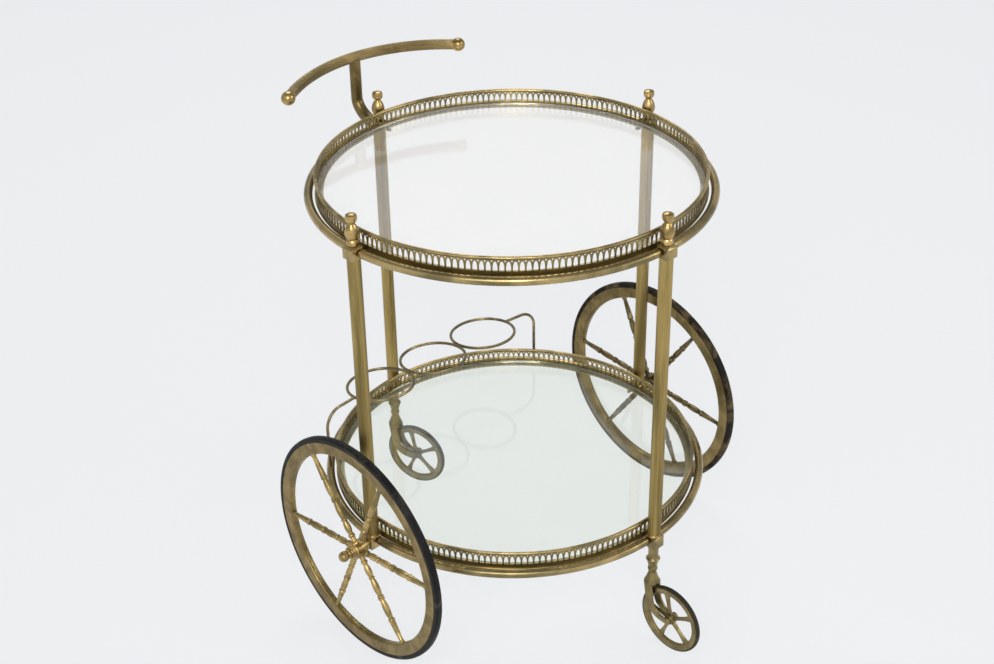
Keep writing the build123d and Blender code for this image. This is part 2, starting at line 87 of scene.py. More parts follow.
def noiseNode(tree, vector, scale, detail, roughness=0.55, distortion=0.0):
    node = addNode(tree, "ShaderNodeTexNoise", Detail=detail, Roughness=roughness, Distortion=distortion)
    wire(tree, scale, node.inputs["Scale"])
    wire(tree, vector, node.inputs["Vector"])
    return node.outputs["Fac"]


def rampNode(tree, value, stops):
    # a smooth step, stops are the two ends of what goes in and the two of what comes out
    ramp = addNode(tree, "ShaderNodeMapRange", interpolation_type="SMOOTHSTEP")
    for label, stop in zip(("From Min", "From Max", "To Min", "To Max"), stops):
        ramp.inputs[label].default_value = stop
    wire(tree, value, ramp.inputs["Value"])
    return ramp.outputs["Result"]


def mixColour(tree, factor, first, second):
    mix = addNode(tree, "ShaderNodeMix", data_type="RGBA")
    for socket, value in ((mix.inputs[0], factor), (mix.inputs[6], first), (mix.inputs[7], second)):
        wire(tree, value, socket)
    return mix.outputs[2]


def mathNode(tree, operation, first, second):
    node = addNode(tree, "ShaderNodeMath", operation=operation)
    wire(tree, first, node.inputs[0])
    wire(tree, second, node.inputs[1])
    return node.outputs[0]


def blendShaders(tree, factor, first, second):
    blend = addNode(tree, "ShaderNodeMixShader")
    for socket, source in zip(blend.inputs, (factor, first, second)):
        wire(tree, source, socket)
    return blend.outputs[0]


def newSurface(name, stretch=(1, 1, 1), offset=(0, 0, 0), **sockets):
    # a material with its shader, and Object coordinates through a Mapping node
    material = bpy.data.materials.new(name)
    material.use_nodes = True
    tree = material.node_tree
    tree.nodes.clear()
    out = addNode(tree, "ShaderNodeOutputMaterial")
    shader = addNode(tree, "ShaderNodeBsdfPrincipled", **sockets)
    wire(tree, shader.outputs["BSDF"], out.inputs["Surface"])
    coords = addNode(tree, "ShaderNodeTexCoord")
    mapping = addNode(tree, "ShaderNodeMapping", Scale=stretch, Location=offset)
    wire(tree, coords.outputs["Object"], mapping.inputs["Vector"])
    return material, tree, shader, mapping.outputs["Vector"]


def addBump(tree, shader, height, strength, distance):
    bump = addNode(tree, "ShaderNodeBump", Strength=strength, Distance=distance)
    wire(tree, height, bump.inputs["Height"])
    wire(tree, bump.outputs["Normal"], shader.inputs["Normal"])


# patina: cloudy tarnish, fine specks of dirt, and painted shade in the hollows, where ambient occlusion
# darkens the colour
# a noise is given by scale, detail, roughness and distortion, the clouds' scale comes from each look
patinaColours = {"Bright": "bright", "Aged": "aged", "GrimeAndShade": "grimeAndShade"}
patinaAmounts = {"Cloud Scale": "cloudScale", "Wear": "wear", "Dullness": "dull", "Specks": "specks"}
patinaLook = {
    "clouds": (5.0, 0.6, 0.6), "patchStops": (0.36, 0.66, 0.0, 1.0), "roughStops": (0.3, 0.7, 0.46, 0.3),
    "specks": (420.0, 3.0, 0.7), "speckStops": (0.56, 0.72, 0.0, 1.0), "speckDull": 0.3,
    "drift": (7.0, 2.0, 0.5), "driftStops": (0.3, 0.7, 0.0, 0.3), "driftColour": (0.2, 0.17, 0.07),
    # painted shade: how far ambient occlusion looks and how dark it paints the hollows
    "shadeReach": 0.006, "shadeStops": (0.1, 0.75, 0.45, 0.0),
    "pits": (900.0, 2.0, 0.6), "pitDepth": 0.0003,
}


def makePatina():
    look = patinaLook
    group = bpy.data.node_groups.new("patina", "ShaderNodeTree")
    sockets = [("Vector", "INPUT", "Vector")]
    sockets += [(label, "INPUT", "Color") for label in patinaColours]
    sockets += [(label, "INPUT", "Float") for label in patinaAmounts]
    sockets += [("Color", "OUTPUT", "Color"), ("Roughness", "OUTPUT", "Float"), ("Height", "OUTPUT", "Float")]
    for label, way, kind in sockets:
        group.interface.new_socket(name=label, in_out=way, socket_type="NodeSocket" + kind)
    given = group.nodes.new("NodeGroupInput").outputs
    result = group.nodes.new("NodeGroupOutput").inputs
    vector = given["Vector"]
    cloud = noiseNode(group, vector, given["Cloud Scale"], *look["clouds"])
    worn = mathNode(group, "MULTIPLY", rampNode(group, cloud, look["patchStops"]), given["Wear"])
    base = mixColour(group, worn, given["Aged"], given["Bright"])
    specks = rampNode(group, noiseNode(group, vector, *look["specks"]), look["speckStops"])
    speckMask = mathNode(group, "MULTIPLY", specks, given["Specks"])
    spotted = mixColour(group, speckMask, base, given["GrimeAndShade"])
    tone = rampNode(group, noiseNode(group, vector, *look["drift"]), look["driftStops"])
    toned = mixColour(group, tone, spotted, look["driftColour"])
    # painted shade: ambient occlusion darkens hollows and gaps between parts towards the third colour, which
    # also colours the specks
    hollow = addNode(group, "ShaderNodeAmbientOcclusion", samples=6, Distance=look["shadeReach"])
    paintedShadeMask = rampNode(group, hollow.outputs["AO"], look["shadeStops"])
    wire(group, mixColour(group, paintedShadeMask, toned, given["GrimeAndShade"]), result["Color"])
    rough = rampNode(group, cloud, look["roughStops"])
    rougher = mathNode(group, "ADD", rough, mathNode(group, "MULTIPLY", speckMask, look["speckDull"]))
    wire(group, mathNode(group, "MULTIPLY", rougher, given["Dullness"]), result["Roughness"])
    wire(group, noiseNode(group, vector, *look["pits"]), result["Height"])
    return group


patina = makePatina()


def patinaMaterial(name, look):
    stretch = look.get("stretch", (1, 1, 1))
    material, tree, shader, vector = newSurface(name, stretch, look["offset"], Metallic=1.0)
    effect = addNode(tree, "ShaderNodeGroup", node_tree=patina)
    wire(tree, vector, effect.inputs["Vector"])
    for label, key in (patinaColours | patinaAmounts).items():
        wire(tree, look[key], effect.inputs[label])
    wire(tree, effect.outputs["Color"], shader.inputs["Base Color"])
    wire(tree, effect.outputs["Roughness"], shader.inputs["Roughness"])
    addBump(tree, shader, effect.outputs["Height"], look["bump"], patinaLook["pitDepth"])
    return material


# stretch is given where the clouds run along the piece
# in each look the third colour serves both the fine specks of dirt and the painted shade in the hollows
brassLooks = {
    "frame": {
        "bright": (0.62, 0.46, 0.21), "aged": (0.21, 0.165, 0.078), "grimeAndShade": (0.13, 0.088, 0.032),
        "cloudScale": 18, "wear": 0.8, "dull": 0.72, "specks": 0.2, "bump": 0.14, "offset": (0, 0, 0),
    },
    # the posts' clouds are stretched into long bright and dark streaks that stand in for stripes of highlight
    # and shade along the reeds: painted highlight and painted shade, laid at random places
    "posts": {
        "bright": (0.57, 0.415, 0.155), "aged": (0.22, 0.158, 0.055), "grimeAndShade": (0.06, 0.045, 0.016),
        "cloudScale": 70, "wear": 0.85, "dull": 0.95, "specks": 0.3, "bump": 0.25,
        "stretch": (1, 1, 0.05), "offset": (0.3, 0.1, 0),
    },
    "gallery": {
        "bright": (0.46, 0.36, 0.16), "aged": (0.22, 0.175, 0.075), "grimeAndShade": (0.13, 0.095, 0.04),
        "cloudScale": 34, "wear": 0.7, "dull": 0.9, "specks": 0.25, "bump": 0.3, "offset": (0.1, 0.4, 0.2),
    },
    "ledge": {
        "bright": (0.5, 0.42, 0.22), "aged": (0.36, 0.3, 0.15), "grimeAndShade": (0.3, 0.255, 0.13),
        "cloudScale": 30, "wear": 0.6, "dull": 1.0, "specks": 0.2, "bump": 0.2, "offset": (0.4, 0.4, 0.1),
    },
    "turnings": {
        "bright": (0.74, 0.51, 0.21), "aged": (0.27, 0.19, 0.07), "grimeAndShade": (0.06, 0.042, 0.015),
        "cloudScale": 40, "wear": 0.9, "dull": 0.68, "specks": 0.15, "bump": 0.25, "offset": (0.2, 0.2, 0.5),
    },
    # painted light and painted shade: the next two looks are a lit copy and a shaded copy of one brass
    # finish, with the left wheel's spokes and hub painted lighter and the right wheel's painted darker
    "leftSpindles": {
        "bright": (0.66, 0.475, 0.19), "aged": (0.27, 0.198, 0.08), "grimeAndShade": (0.11, 0.08, 0.032),
        "cloudScale": 40, "wear": 0.8, "dull": 0.92, "specks": 0.3, "bump": 0.3, "offset": (0.6, 0.2, 0.5),
    },
    "rightSpindles": {
        "bright": (0.32, 0.235, 0.105), "aged": (0.085, 0.065, 0.035), "grimeAndShade": (0.045, 0.035, 0.018),
        "cloudScale": 70, "wear": 0.75, "dull": 0.85, "specks": 0.35, "bump": 0.3, "offset": (0.6, 0.2, 0.5),
    },
    "wires": {
        "bright": (0.48, 0.37, 0.19), "aged": (0.135, 0.112, 0.065), "grimeAndShade": (0.08, 0.06, 0.03),
        "cloudScale": 26, "wear": 0.8, "dull": 0.75, "specks": 0.2, "bump": 0.14, "offset": (0.2, 0.5, 0.1),
    },
    "elbow": {
        "bright": (0.26, 0.185, 0.075), "aged": (0.12, 0.085, 0.032), "grimeAndShade": (0.05, 0.035, 0.012),
        "cloudScale": 30, "wear": 0.75, "dull": 0.9, "specks": 0.3, "bump": 0.25, "offset": (0.1, 0.3, 0.4),
    },
    "handle": {
        "bright": (0.40, 0.285, 0.125), "aged": (0.20, 0.145, 0.063), "grimeAndShade": (0.06, 0.042, 0.015),
        "cloudScale": 20, "wear": 0.75, "dull": 0.9, "specks": 0.3, "bump": 0.25, "offset": (0.5, 0.2, 0),
    },
    "wheels": {
        "bright": (0.38, 0.27, 0.108), "aged": (0.19, 0.137, 0.057), "grimeAndShade": (0.07, 0.05, 0.02),
        "cloudScale": 44, "wear": 0.7, "dull": 1.0, "specks": 0.5, "bump": 0.45, "offset": (0.7, 0.6, 0.1),
    },
    "casters": {
        "bright": (0.36, 0.28, 0.125), "aged": (0.19, 0.148, 0.066), "grimeAndShade": (0.06, 0.045, 0.02),
        "cloudScale": 40, "wear": 0.7, "dull": 1.0, "specks": 0.4, "bump": 0.35, "offset": (0.3, 0.7, 0.2),
    },
}
brass = {name: patinaMaterial(name + "Brass", look) for name, look in brassLooks.items()}

rubberGrain = {
    "dust": (30.0, 6.0, 0.65, 0.8), "chips": (260.0, 4.0, 0.7), "chipStops": (0.6, 0.72, 0.0, 0.5),
    "grain": (500.0, 4.0, 0.7), "grainDepth": 0.0004, "bump": 0.4,
}
rubberLooks = {
    "left": {
        "black": (0.004, 0.004, 0.004), "scuff": (0.13, 0.12, 0.095), "dust": (0.52, 0.78, 0.0, 0.5),
        "roughness": 0.5, "gloss": 0.2,
    },
    "right": {
        "black": (0.012, 0.009, 0.006), "scuff": (0.15, 0.108, 0.05), "dust": (0.42, 0.64, 0.0, 0.75),
        "roughness": 0.6, "gloss": 0.15,
    },
    "casters": {
        "black": (0.03, 0.024, 0.013), "scuff": (0.15, 0.12, 0.07), "dust": (0.5, 0.78, 0.0, 0.55),
        "roughness": 0.6, "gloss": 0.2,
    },
}


def rubberMaterial(name, look):
    grain = rubberGrain
    material, tree, shader, vector = newSurface(name, Roughness=look["roughness"])
    shader.inputs["Specular IOR Level"].default_value = look["gloss"]
    dust = rampNode(tree, noiseNode(tree, vector, *grain["dust"]), look["dust"])
    chips = rampNode(tree, noiseNode(tree, vector, *grain["chips"]), grain["chipStops"])
    dusty = mixColour(tree, dust, look["black"], look["scuff"])
    wire(tree, mixColour(tree, chips, dusty, look["scuff"]), shader.inputs["Base Color"])
    height = noiseNode(tree, vector, *grain["grain"])
    addBump(tree, shader, height, grain["bump"], grain["grainDepth"])
    return material


rubber = {name: rubberMaterial(name + "Rubber", look) for name, look in rubberLooks.items()}

wiping = {"marks": (9.0, 5.0, 0.6, 1.5), "smearStops": (0.4, 0.75), "streakStops": (0.3, 0.8, 0.0, 0.35)}
glassLooks = {
    "upper": {"tint": (1.0, 1.0, 1.0), "smeared": (0.96, 0.975, 0.975), "smear": 0.03, "clear": 0.9},
    "lower": {"tint": (0.84, 0.88, 0.85), "smeared": (0.79, 0.84, 0.80), "smear": 0.03, "clear": 0.97},
}


def glassMaterial(name, look):
    # wiping marks turn the surface a little rough and change its tint
    material, tree, shader, vector = newSurface(name, IOR=1.5)
    shader.inputs["Transmission Weight"].default_value = look["clear"]
    marks = noiseNode(tree, vector, *wiping["marks"])
    wire(tree, rampNode(tree, marks, (*wiping["smearStops"], 0.0, look["smear"])), shader.inputs["Roughness"])
    streak = rampNode(tree, marks, wiping["streakStops"])
    wire(tree, mixColour(tree, streak, look["tint"], look["smeared"]), shader.inputs["Base Color"])
    return material


clearGlass = {name: glassMaterial(name + "Glazing", look) for name, look in glassLooks.items()}
print("materials made")


# helpers for shapes, lengths in their point lists are millimetres
def arcBetween(start, via, end, steps):
    first, second = via - start, end - start
    normal = first.cross(second)
    if normal.length < 1e-12:
        return [end]
    centre = start + (
        normal.cross(first) * second.length_squared + second.cross(normal) * first.length_squared
    ) / (2 * normal.length_squared)
    normal.normalize()
    radial = start - centre
    sweep = radial.angle(via - centre) + (via - centre).angle(end - centre)
    if radial.cross(via - centre).dot(normal) < 0:
        sweep = -sweep
    return [centre + Matrix.Rotation(sweep * i / steps, 3, normal) @ radial for i in range(1, steps)] + [end]


def outlinePoints(points, arcSteps):
    # pairs are (across, along), four numbers make an arc through the first pair to the second
    result = [Vector((points[0][0], 0, points[0][1]))]
    for entry in points[1:]:
        end = Vector((entry[-2], 0, entry[-1]))
        if len(entry) == 4:
            result += arcBetween(result[-1], Vector((entry[0], 0, entry[1])), end, arcSteps)
        else:
            result.append(end)
    return result


def pick(look, *keys):
    return [look[key] for key in keys]


def domeVia(radius, height, top, way=1):
    # the point half way up a dome, way is -1 for one that points down
    sphere = (radius**2 + height**2) / (2 * height)
    half = asin(min(1.0, radius / sphere)) / 2
    return sphere * sin(half), top - way * sphere * (1 - cos(half))


def shiftMesh(bm, matrix):
    bmesh.ops.transform(bm, matrix=matrix, verts=bm.verts[:])
    return bm


def cleanUp(bm, sharpAngle):
    bmesh.ops.remove_doubles(bm, verts=bm.verts[:], dist=1e-6)
    bmesh.ops.dissolve_degenerate(bm, edges=bm.edges[:], dist=tiny)
    bmesh.ops.recalc_face_normals(bm, faces=bm.faces[:])
    limit = radians(sharpAngle)
    for face in bm.faces:
        face.smooth = True
    for edge in bm.edges:
        edge.smooth = len(edge.link_faces) == 2 and edge.calc_face_angle(0) < limit
    return bm


def newMesh(name, bm):
    mesh = bpy.data.meshes.new(name)
    bm.to_mesh(mesh)
    bm.free()
    return mesh


def newObject(name, data):
    made = bpy.data.objects.new(name, data)
    bpy.context.scene.collection.objects.link(made)
    return made


def keepMesh(bm, name, sharpAngle=38):
    return newMesh(name, cleanUp(bm, sharpAngle))


def turnedMesh(name, points, sharpAngle=38, place=None, steps=48, arcSteps=6):
    # an outline spun round Z, an open one with a bore is closed first
    bm = bmesh.new()
    line = [bm.verts.new(point * mm) for point in outlinePoints(points, arcSteps)]
    edges = [bm.edges.new(pair) for pair in zip(line, line[1:])]
    if (line[0].co - line[-1].co).length > tiny and max(line[0].co.x, line[-1].co.x) > tiny:
        edges.append(bm.edges.new((line[-1], line[0])))
    bmesh.ops.spin(
        bm, geom=line + edges, cent=(0, 0, 0), axis=(0, 0, 1), angle=2 * pi, steps=steps, use_merge=True
    )
    if place:
        shiftMesh(bm, place)
    return keepMesh(bm, name, sharpAngle)


def extrude(bm, way):
    made = bmesh.ops.extrude_face_region(bm, geom=bm.faces[:], use_keep_orig=True)
    lifted = [v for v in made["geom"] if isinstance(v, bmesh.types.BMVert)]
    bmesh.ops.translate(bm, verts=lifted, vec=way)


def bevelEdges(bm, edges, offset, segments, clamp=False):
    bmesh.ops.bevel(
        bm, geom=edges, offset=offset * mm, offset_type="OFFSET", segments=segments, profile=0.5,
        affect="EDGES", material=-1, clamp_overlap=clamp,
    )


def softenEdges(bm, offset, segments, minAngle):
    limit = radians(minAngle)
    edges = [e for e in bm.edges if len(e.link_faces) == 2 and e.calc_face_angle(0) > limit]
    bevelEdges(bm, edges, offset, segments, True)


def tubeAlong(points, radii, segments):
    # rings of vertices along a path, bridged one to the next, with closed ends
    bm = bmesh.new()
    side = None
    last = None
    for i, point in enumerate(points):
        ahead = points[min(i + 1, len(points) - 1)] - points[max(i - 1, 0)]
        ahead.normalize()
        if side is None:
            side = ahead.orthogonal().normalized()
        side = (side - ahead * side.dot(ahead)).normalized()
        place = Matrix((side, ahead.cross(side), ahead)).transposed().to_4x4()
        place.translation = point * mm
        before = set(bm.edges)
        bmesh.ops.create_circle(bm, segments=segments, radius=radii[i] * mm, matrix=place)
        ring = [e for e in bm.edges if e not in before]
        if last:
            bmesh.ops.bridge_loops(bm, edges=last + ring)
        else:
            bmesh.ops.contextual_create(bm, geom=ring)
        last = ring
    bmesh.ops.contextual_create(bm, geom=last)
    return bm


def hermite(start, end, startPull, endPull, steps):
    points = []
    for i in range(steps + 1):
        t = i / steps
        points.append(
            start * (2 * t**3 - 3 * t**2 + 1) + startPull * (t**3 - 2 * t**2 + t)
            + end * (3 * t**2 - 2 * t**3) + endPull * (t**3 - t**2)
        )
    return points


def gather(pairs):
    # one bmesh from (mesh, matrix) pairs
    bm = bmesh.new()
    for mesh, matrix in pairs:
        before = len(bm.verts)
        bm.from_mesh(mesh)
        bm.verts.ensure_lookup_table()
        bmesh.ops.transform(bm, matrix=matrix, verts=bm.verts[before:])
    return bm


def atQuarters(mesh, out, height):
    # four places round the cart's axis, at the posts
    return [(mesh, cartAxis @ turn @ placedAt(out, 0, height)) for turn in quarterTurns]


def addPiece(name, pairs, material, body, node):
    mesh = newMesh(name, gather(pairs))
    mesh.materials.append(material)
    piece = newObject(name, mesh)
    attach(piece, body)
    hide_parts(node)


# posts, collars, blocks and finials
post = {"circle": 260.0, "radius": 8.65, "reeds": 20, "reedDepth": 0.5, "bottom": 169.4, "top": 579.7}


def reededDisc(look):
    # a disc whose radius dips between the reeds
    stepsPerReed, roundness = 6, 0.6
    bm = bmesh.new()
    made = bmesh.ops.create_circle(
        bm, cap_ends=True, segments=look["reeds"] * stepsPerReed, radius=look["radius"] * mm
    )
    for vert in made["verts"]:
        turn = atan2(vert.co.y, vert.co.x) * look["reeds"] / 2
        dip = look["reedDepth"] * (1 - abs(sin(turn)) ** roundness)
        vert.co *= 1 - dip / look["radius"]
    return bm


def makePost():
    bm = reededDisc(post)
    extrude(bm, (0, 0, (post["top"] - post["bottom"]) * mm))
    return keepMesh(bm, "rod", 50)


addPiece("postRods", atQuarters(makePost(), post["circle"], post["bottom"]), brass["posts"], "frame", "posts")

collar = {
    "bore": 8.4, "foot": 9.05, "bulge": (9.4, 0.9), "waist": (8.95, 1.8), "shoulder": (9.25, 2.66),
    "top": (8.9, 3.6),
}


def collarOutline():
    height = collar["top"][1]
    return [
        (collar["bore"], 0), (collar["foot"], 0), (*collar["bulge"], *collar["waist"]),
        (*collar["shoulder"], *collar["top"]), (collar["bore"], height),
    ]


collarPlaces = atQuarters(turnedMesh("collar", collarOutline()), post["circle"], post["bottom"])
addPiece("postCollars", collarPlaces, brass["turnings"], "frame", "post_collars")

block = {
    "side": 18.2, "out": 260.8, "height": 17.1, "corner": 1.2, "edge": 0.6, "soft": 0.25,
    "upperZ": 579.7, "lowerZ": 152.3, "upperBevel": 3.3, "lowerBevel": 1.2,
}


def makeBlock(topBevel):
    bm = bmesh.new()
    size = Matrix.Diagonal((block["side"] * mm, block["side"] * mm, block["height"] * mm, 1))
    bmesh.ops.create_cube(bm, size=1.0, matrix=placedAt(0, 0, block["height"] / 2) @ size)
    for height, offset in ((block["height"], topBevel), (0, block["edge"])):
        rim = [e for e in bm.edges if all(abs(v.co.z - height * mm) < 1e-6 for v in e.verts)]
        bevelEdges(bm, rim, offset, 1)
    diagonal = (block["side"] - block["corner"]) / sqrt(2) * mm
    for turn in quarterTurns:
        way = turn @ Vector((1, 1, 0)).normalized()
        cut = bmesh.ops.bisect_plane(
            bm, geom=bm.verts[:] + bm.edges[:] + bm.faces[:], plane_co=way * diagonal, plane_no=way,
            clear_outer=True,
        )
        cutEdges = [e for e in cut["geom_cut"] if isinstance(e, bmesh.types.BMEdge)]
        bmesh.ops.holes_fill(bm, edges=cutEdges, sides=0)
    softenEdges(bm, block["soft"], 2, 25)
    return keepMesh(bm, "block", 30)


for level in ("upper", "lower"):
    blockPlaces = atQuarters(makeBlock(block[level + "Bevel"]), block["out"], block[level + "Z"])
    addPiece("blocks_" + level, blockPlaces, brass["frame"], "frame", level + "_blocks")

finial = {"bead": 7.8, "waist": 6.2, "pear": 8.8, "neck": 4.3, "knob": 7.3, "height": 41.0, "base": 596.8}


def finialOutline():
    # bead, waist, pear, neck and knob from the foot up, at shares of the height
    bead, waist, pear, neck, knob, h, _ = finial.values()
    return [
        (0, 0), (0.9 * bead, 0), (bead, 0.08 * h, 0.88 * bead, 0.16 * h), (waist, 0.185 * h),
        (1.04 * waist, 0.21 * h), (0.96 * pear, 0.31 * h, pear, 0.42 * h),
        (0.84 * pear, 0.55 * h, 1.14 * neck, 0.66 * h), (neck, 0.695 * h, 1.1 * neck, 0.73 * h),
        (1.15 * neck, 0.745 * h), (0.9 * knob, 0.77 * h), (knob, 0.865 * h, 0.9 * knob, 0.955 * h),
        (*domeVia(0.9 * knob, 0.045 * h, h), 0, h),
    ]


finialMesh = turnedMesh("finial", finialOutline(), steps=56, arcSteps=8)
finialPlaces = atQuarters(finialMesh, post["circle"], finial["base"])
addPiece("finialKnobs", finialPlaces, brass["turnings"], "frame", "finials")
print("posts, blocks and finials made")


# ring tubes and tray pins
ringTube = {"circle": 257.3, "radius": 5.6, "endRound": 3.4, "upperZ": 588.0, "lowerZ": 163.5, "segments": 28}


def makeRingArc():
    # a quarter of the ring, from block to block
    startAngle = asin(block["side"] / 2 / ringTube["circle"])
    bm = bmesh.new()
    place = placedAt(ringTube["circle"], 0, 0) @ rotated(90, "X")
    bmesh.ops.create_circle(bm, segments=ringTube["segments"], radius=ringTube["radius"] * mm, matrix=place)
    shiftMesh(bm, Matrix.Rotation(startAngle, 4, "Z"))
    bmesh.ops.spin(
        bm, geom=bm.verts[:] + bm.edges[:], cent=(0, 0, 0), axis=(0, 0, 1),
        angle=pi / 2 - 2 * startAngle, steps=60,
    )
    ends = bmesh.ops.holes_fill(bm, edges=[e for e in bm.edges if len(e.link_faces) == 1], sides=0)
    bevelEdges(bm, list({e for face in ends["faces"] for e in face.edges}), ringTube["endRound"], 5)
    return keepMesh(bm, "ringArc", 45)


ringArc = makeRingArc()
for level in ("upper", "lower"):
    tubePlaces = atQuarters(ringArc, 0, ringTube[level + "Z"])
    addPiece("ringTube_" + level, tubePlaces, brass["frame"], "frame", level + "_ring")

pin = {"radius": 2.4, "drop": 3.5, "tip": 235.5, "nose": 2.0, "root": 251.7}
toX = rotated(90, "Y")  # turnings are made along Z and laid along X


def pinOutline():
    radius, long = pin["radius"], pin["root"] - pin["tip"]
    return [(0, 0), (*domeVia(radius, pin["nose"], 0, -1), radius, pin["nose"]), (radius, long), (0, long)]


pinMesh = turnedMesh("pin", pinOutline(), place=toX, steps=24)
pinPlaces = []
for level in ("upper", "lower"):
    pinPlaces += atQuarters(pinMesh, pin["tip"], ringTube[level + "Z"] - pin["drop"])
addPiece("trayPins", pinPlaces, brass["frame"], "frame", "tray_pins")


# trays: flat ring, pierced gallery, bead rail and glass
tray = {
    "ringInner": 238.0, "outer": 249.2, "ringBottom": -1.1, "ringEdge": 0.5, "lipEdge": 0.4,
    "glassBottom": 0.9, "glassTop": 5.9, "glassRadius": 246.1, "glassEdge": 0.5, "glassLift": 0.08,
    "railRadius": 2.25, "railZ": 24.15, "stripThick": 1.3, "stripTop": 21.85,
}
opening = {
    "count": 200, "bottom": 7.6, "top": 19.9, "foot": 2.85, "head": 1.75, "shoulder": 18.2, "bow": 0.12,
    "tipSide": 0.75, "tipDrop": 0.45, "eyeHalf": 1.3, "eyeTopHalf": 0.9, "eyeBottom": 18.4, "eyeTop": 21.2,
    "eyeCorner": 0.8,
}
railCircle = tray["outer"] - tray["railRadius"]


def flatRingOutline():
    outer, inner, low, high = pick(tray, "outer", "ringInner", "ringBottom", "glassBottom")
    edge, lip = tray["ringEdge"], tray["lipEdge"]
    return [
        (inner, low), (outer - edge, low), (outer, low + edge), (outer, high - lip), (outer - lip, high),
        (inner, high),
    ]


def beadOutline(circle, radius, z):
    # a whole circle in two arcs
    outside, inside = (circle + radius, z), (circle - radius, z)
    return [outside, (circle, z + radius, *inside), (circle, z - radius, *outside)]


def glassOutline():
    radius, edge, top = pick(tray, "glassRadius", "glassEdge", "glassTop")
    low = tray["glassBottom"] + tray["glassLift"]  # a hair above the ring, so that light gets between them
    return [
        (0, low), (radius - edge, low), (radius, low + edge),
        (radius, top - edge), (radius - edge, top), (0, top),
    ]


def makePicket():
    # a picket with half an opening on each side and an eye above, made flat, then bent to the curve
    half = pi * railCircle / opening["count"]
    foot, head = half - opening["foot"], half - opening["head"]
    low, shoulder, top = pick(opening, "bottom", "shoulder", "top")
    rightSide = outlinePoints(
        [
            (half, low), (foot, low), (foot + opening["bow"], (low + shoulder) / 2, head, shoulder),
            (half - opening["tipSide"], top - opening["tipDrop"], half, top),
        ],
        5,
    )
    loop = [Vector((half, 0, tray["glassBottom"]))] + rightSide + [Vector((half, 0, tray["stripTop"]))]
    loop += [Vector((-p.x, 0, p.z)) for p in reversed(loop)]
    eyeTop, eyeSide = opening["eyeTop"], opening["eyeTop"] - opening["eyeCorner"]
    eye = [(0, opening["eyeBottom"]), (opening["eyeHalf"], eyeSide), (opening["eyeTopHalf"], eyeTop)]
    eye += [(-opening["eyeTopHalf"], eyeTop), (-opening["eyeHalf"], eyeSide)]
    bm = bmesh.new()
    edges = []
    for points in (loop, [Vector((x, 0, z)) for x, z in eye]):
        verts = [bm.verts.new(point * mm) for point in points]
        edges += [bm.edges.new((verts[i], verts[(i + 1) % len(verts)])) for i in range(len(verts))]
    bmesh.ops.triangle_fill(bm, use_beauty=True, use_dissolve=False, edges=edges)
    bmesh.ops.recalc_face_normals(bm, faces=bm.faces[:])
    extrude(bm, (0, tray["stripThick"] * mm, 0))
    seam = [face for face in bm.faces if all(abs(abs(v.co.x) - half * mm) < tiny for v in face.verts)]
    bmesh.ops.delete(bm, geom=seam, context="FACES")
    for vert in bm.verts:
        turn = vert.co.x / (railCircle * mm)
        radius = (railCircle + tray["stripThick"] / 2) * mm - vert.co.y
        vert.co = Vector((radius * cos(turn), radius * sin(turn), vert.co.z))
    return keepMesh(bm, "picket", 40)


def makeGallery():
    picket, count = makePicket(), opening["count"]
    turns = [Matrix.Rotation(2 * pi * (i + 0.5) / count, 4, "Z") for i in range(count)]
    return keepMesh(gather([(picket, turn) for turn in turns]), "galleryStrip", 40)


railOutline = beadOutline(railCircle, tray["railRadius"], tray["railZ"])
trayParts = {
    "TrayRing": ("_tray_ring", brass["ledge"], turnedMesh("flatRing", flatRingOutline(), 25, steps=200)),
    "Gallery": ("_gallery", brass["gallery"], makeGallery()),
    "Rail": ("_rail", brass["frame"], turnedMesh("rail", railOutline, 60, steps=240, arcSteps=9)),
}
glassMesh = turnedMesh("glassPlate", glassOutline(), 25, steps=200)
for level in ("upper", "lower"):
    lift = cartAxis @ placedAt(0, 0, ringTube[level + "Z"])
    body = level + "_tray"
    for part, (node, material, mesh) in trayParts.items():
        addPiece(level + part, [(mesh, lift)], material, body, level + node)
    addPiece(level + "Glass", [(glassMesh, lift)], clearGlass[level], body, level + "_glass")
print("trays made")


# push handle on its curved stem
handle = {
    "y": 305.0, "z": 674.5, "arc": 229.0, "halfAngle": 36.4, "yaw": -3.3, "tilt": 5.6, "radius": 7.1,
    "reeds": 18, "reedDepth": 0.45, "stemRadius": 7.9, "rootRadius": 8.8, "rootZ": 588.4, "bendTop": 616.0,
    "bendSteps": 24, "riseSteps": 8,
}
handleBall = {
    "radius": 9.4, "seat": (6.9, 6.38), "collar": (7.6, 7.4), "waist": (7.3, 8.5), "top": (6.6, 9.2),
    "sunk": 1.5,
}
handlePlace = (
    cartAxis @ placedAt(0, handle["y"], handle["z"])
    @ rotated(handle["yaw"], "Z") @ rotated(handle["tilt"], "X")
)


def makeBar():
    bm = reededDisc(handle)
    shiftMesh(bm, toX)
    centre = Vector((0, -handle["arc"] * mm, 0))
    half = radians(handle["halfAngle"])
    bmesh.ops.rotate(bm, verts=bm.verts[:], cent=centre, matrix=Matrix.Rotation(-half, 3, "Z"))
    bmesh.ops.spin(
        bm, geom=bm.verts[:] + bm.edges[:] + bm.faces[:], cent=centre, axis=(0, 0, 1),
        angle=2 * half, steps=64,
    )
    return keepMesh(bm, "bar", 50)


addPiece("handleBar", [(makeBar(), handlePlace)], brass["handle"], "frame", "handle_bar")


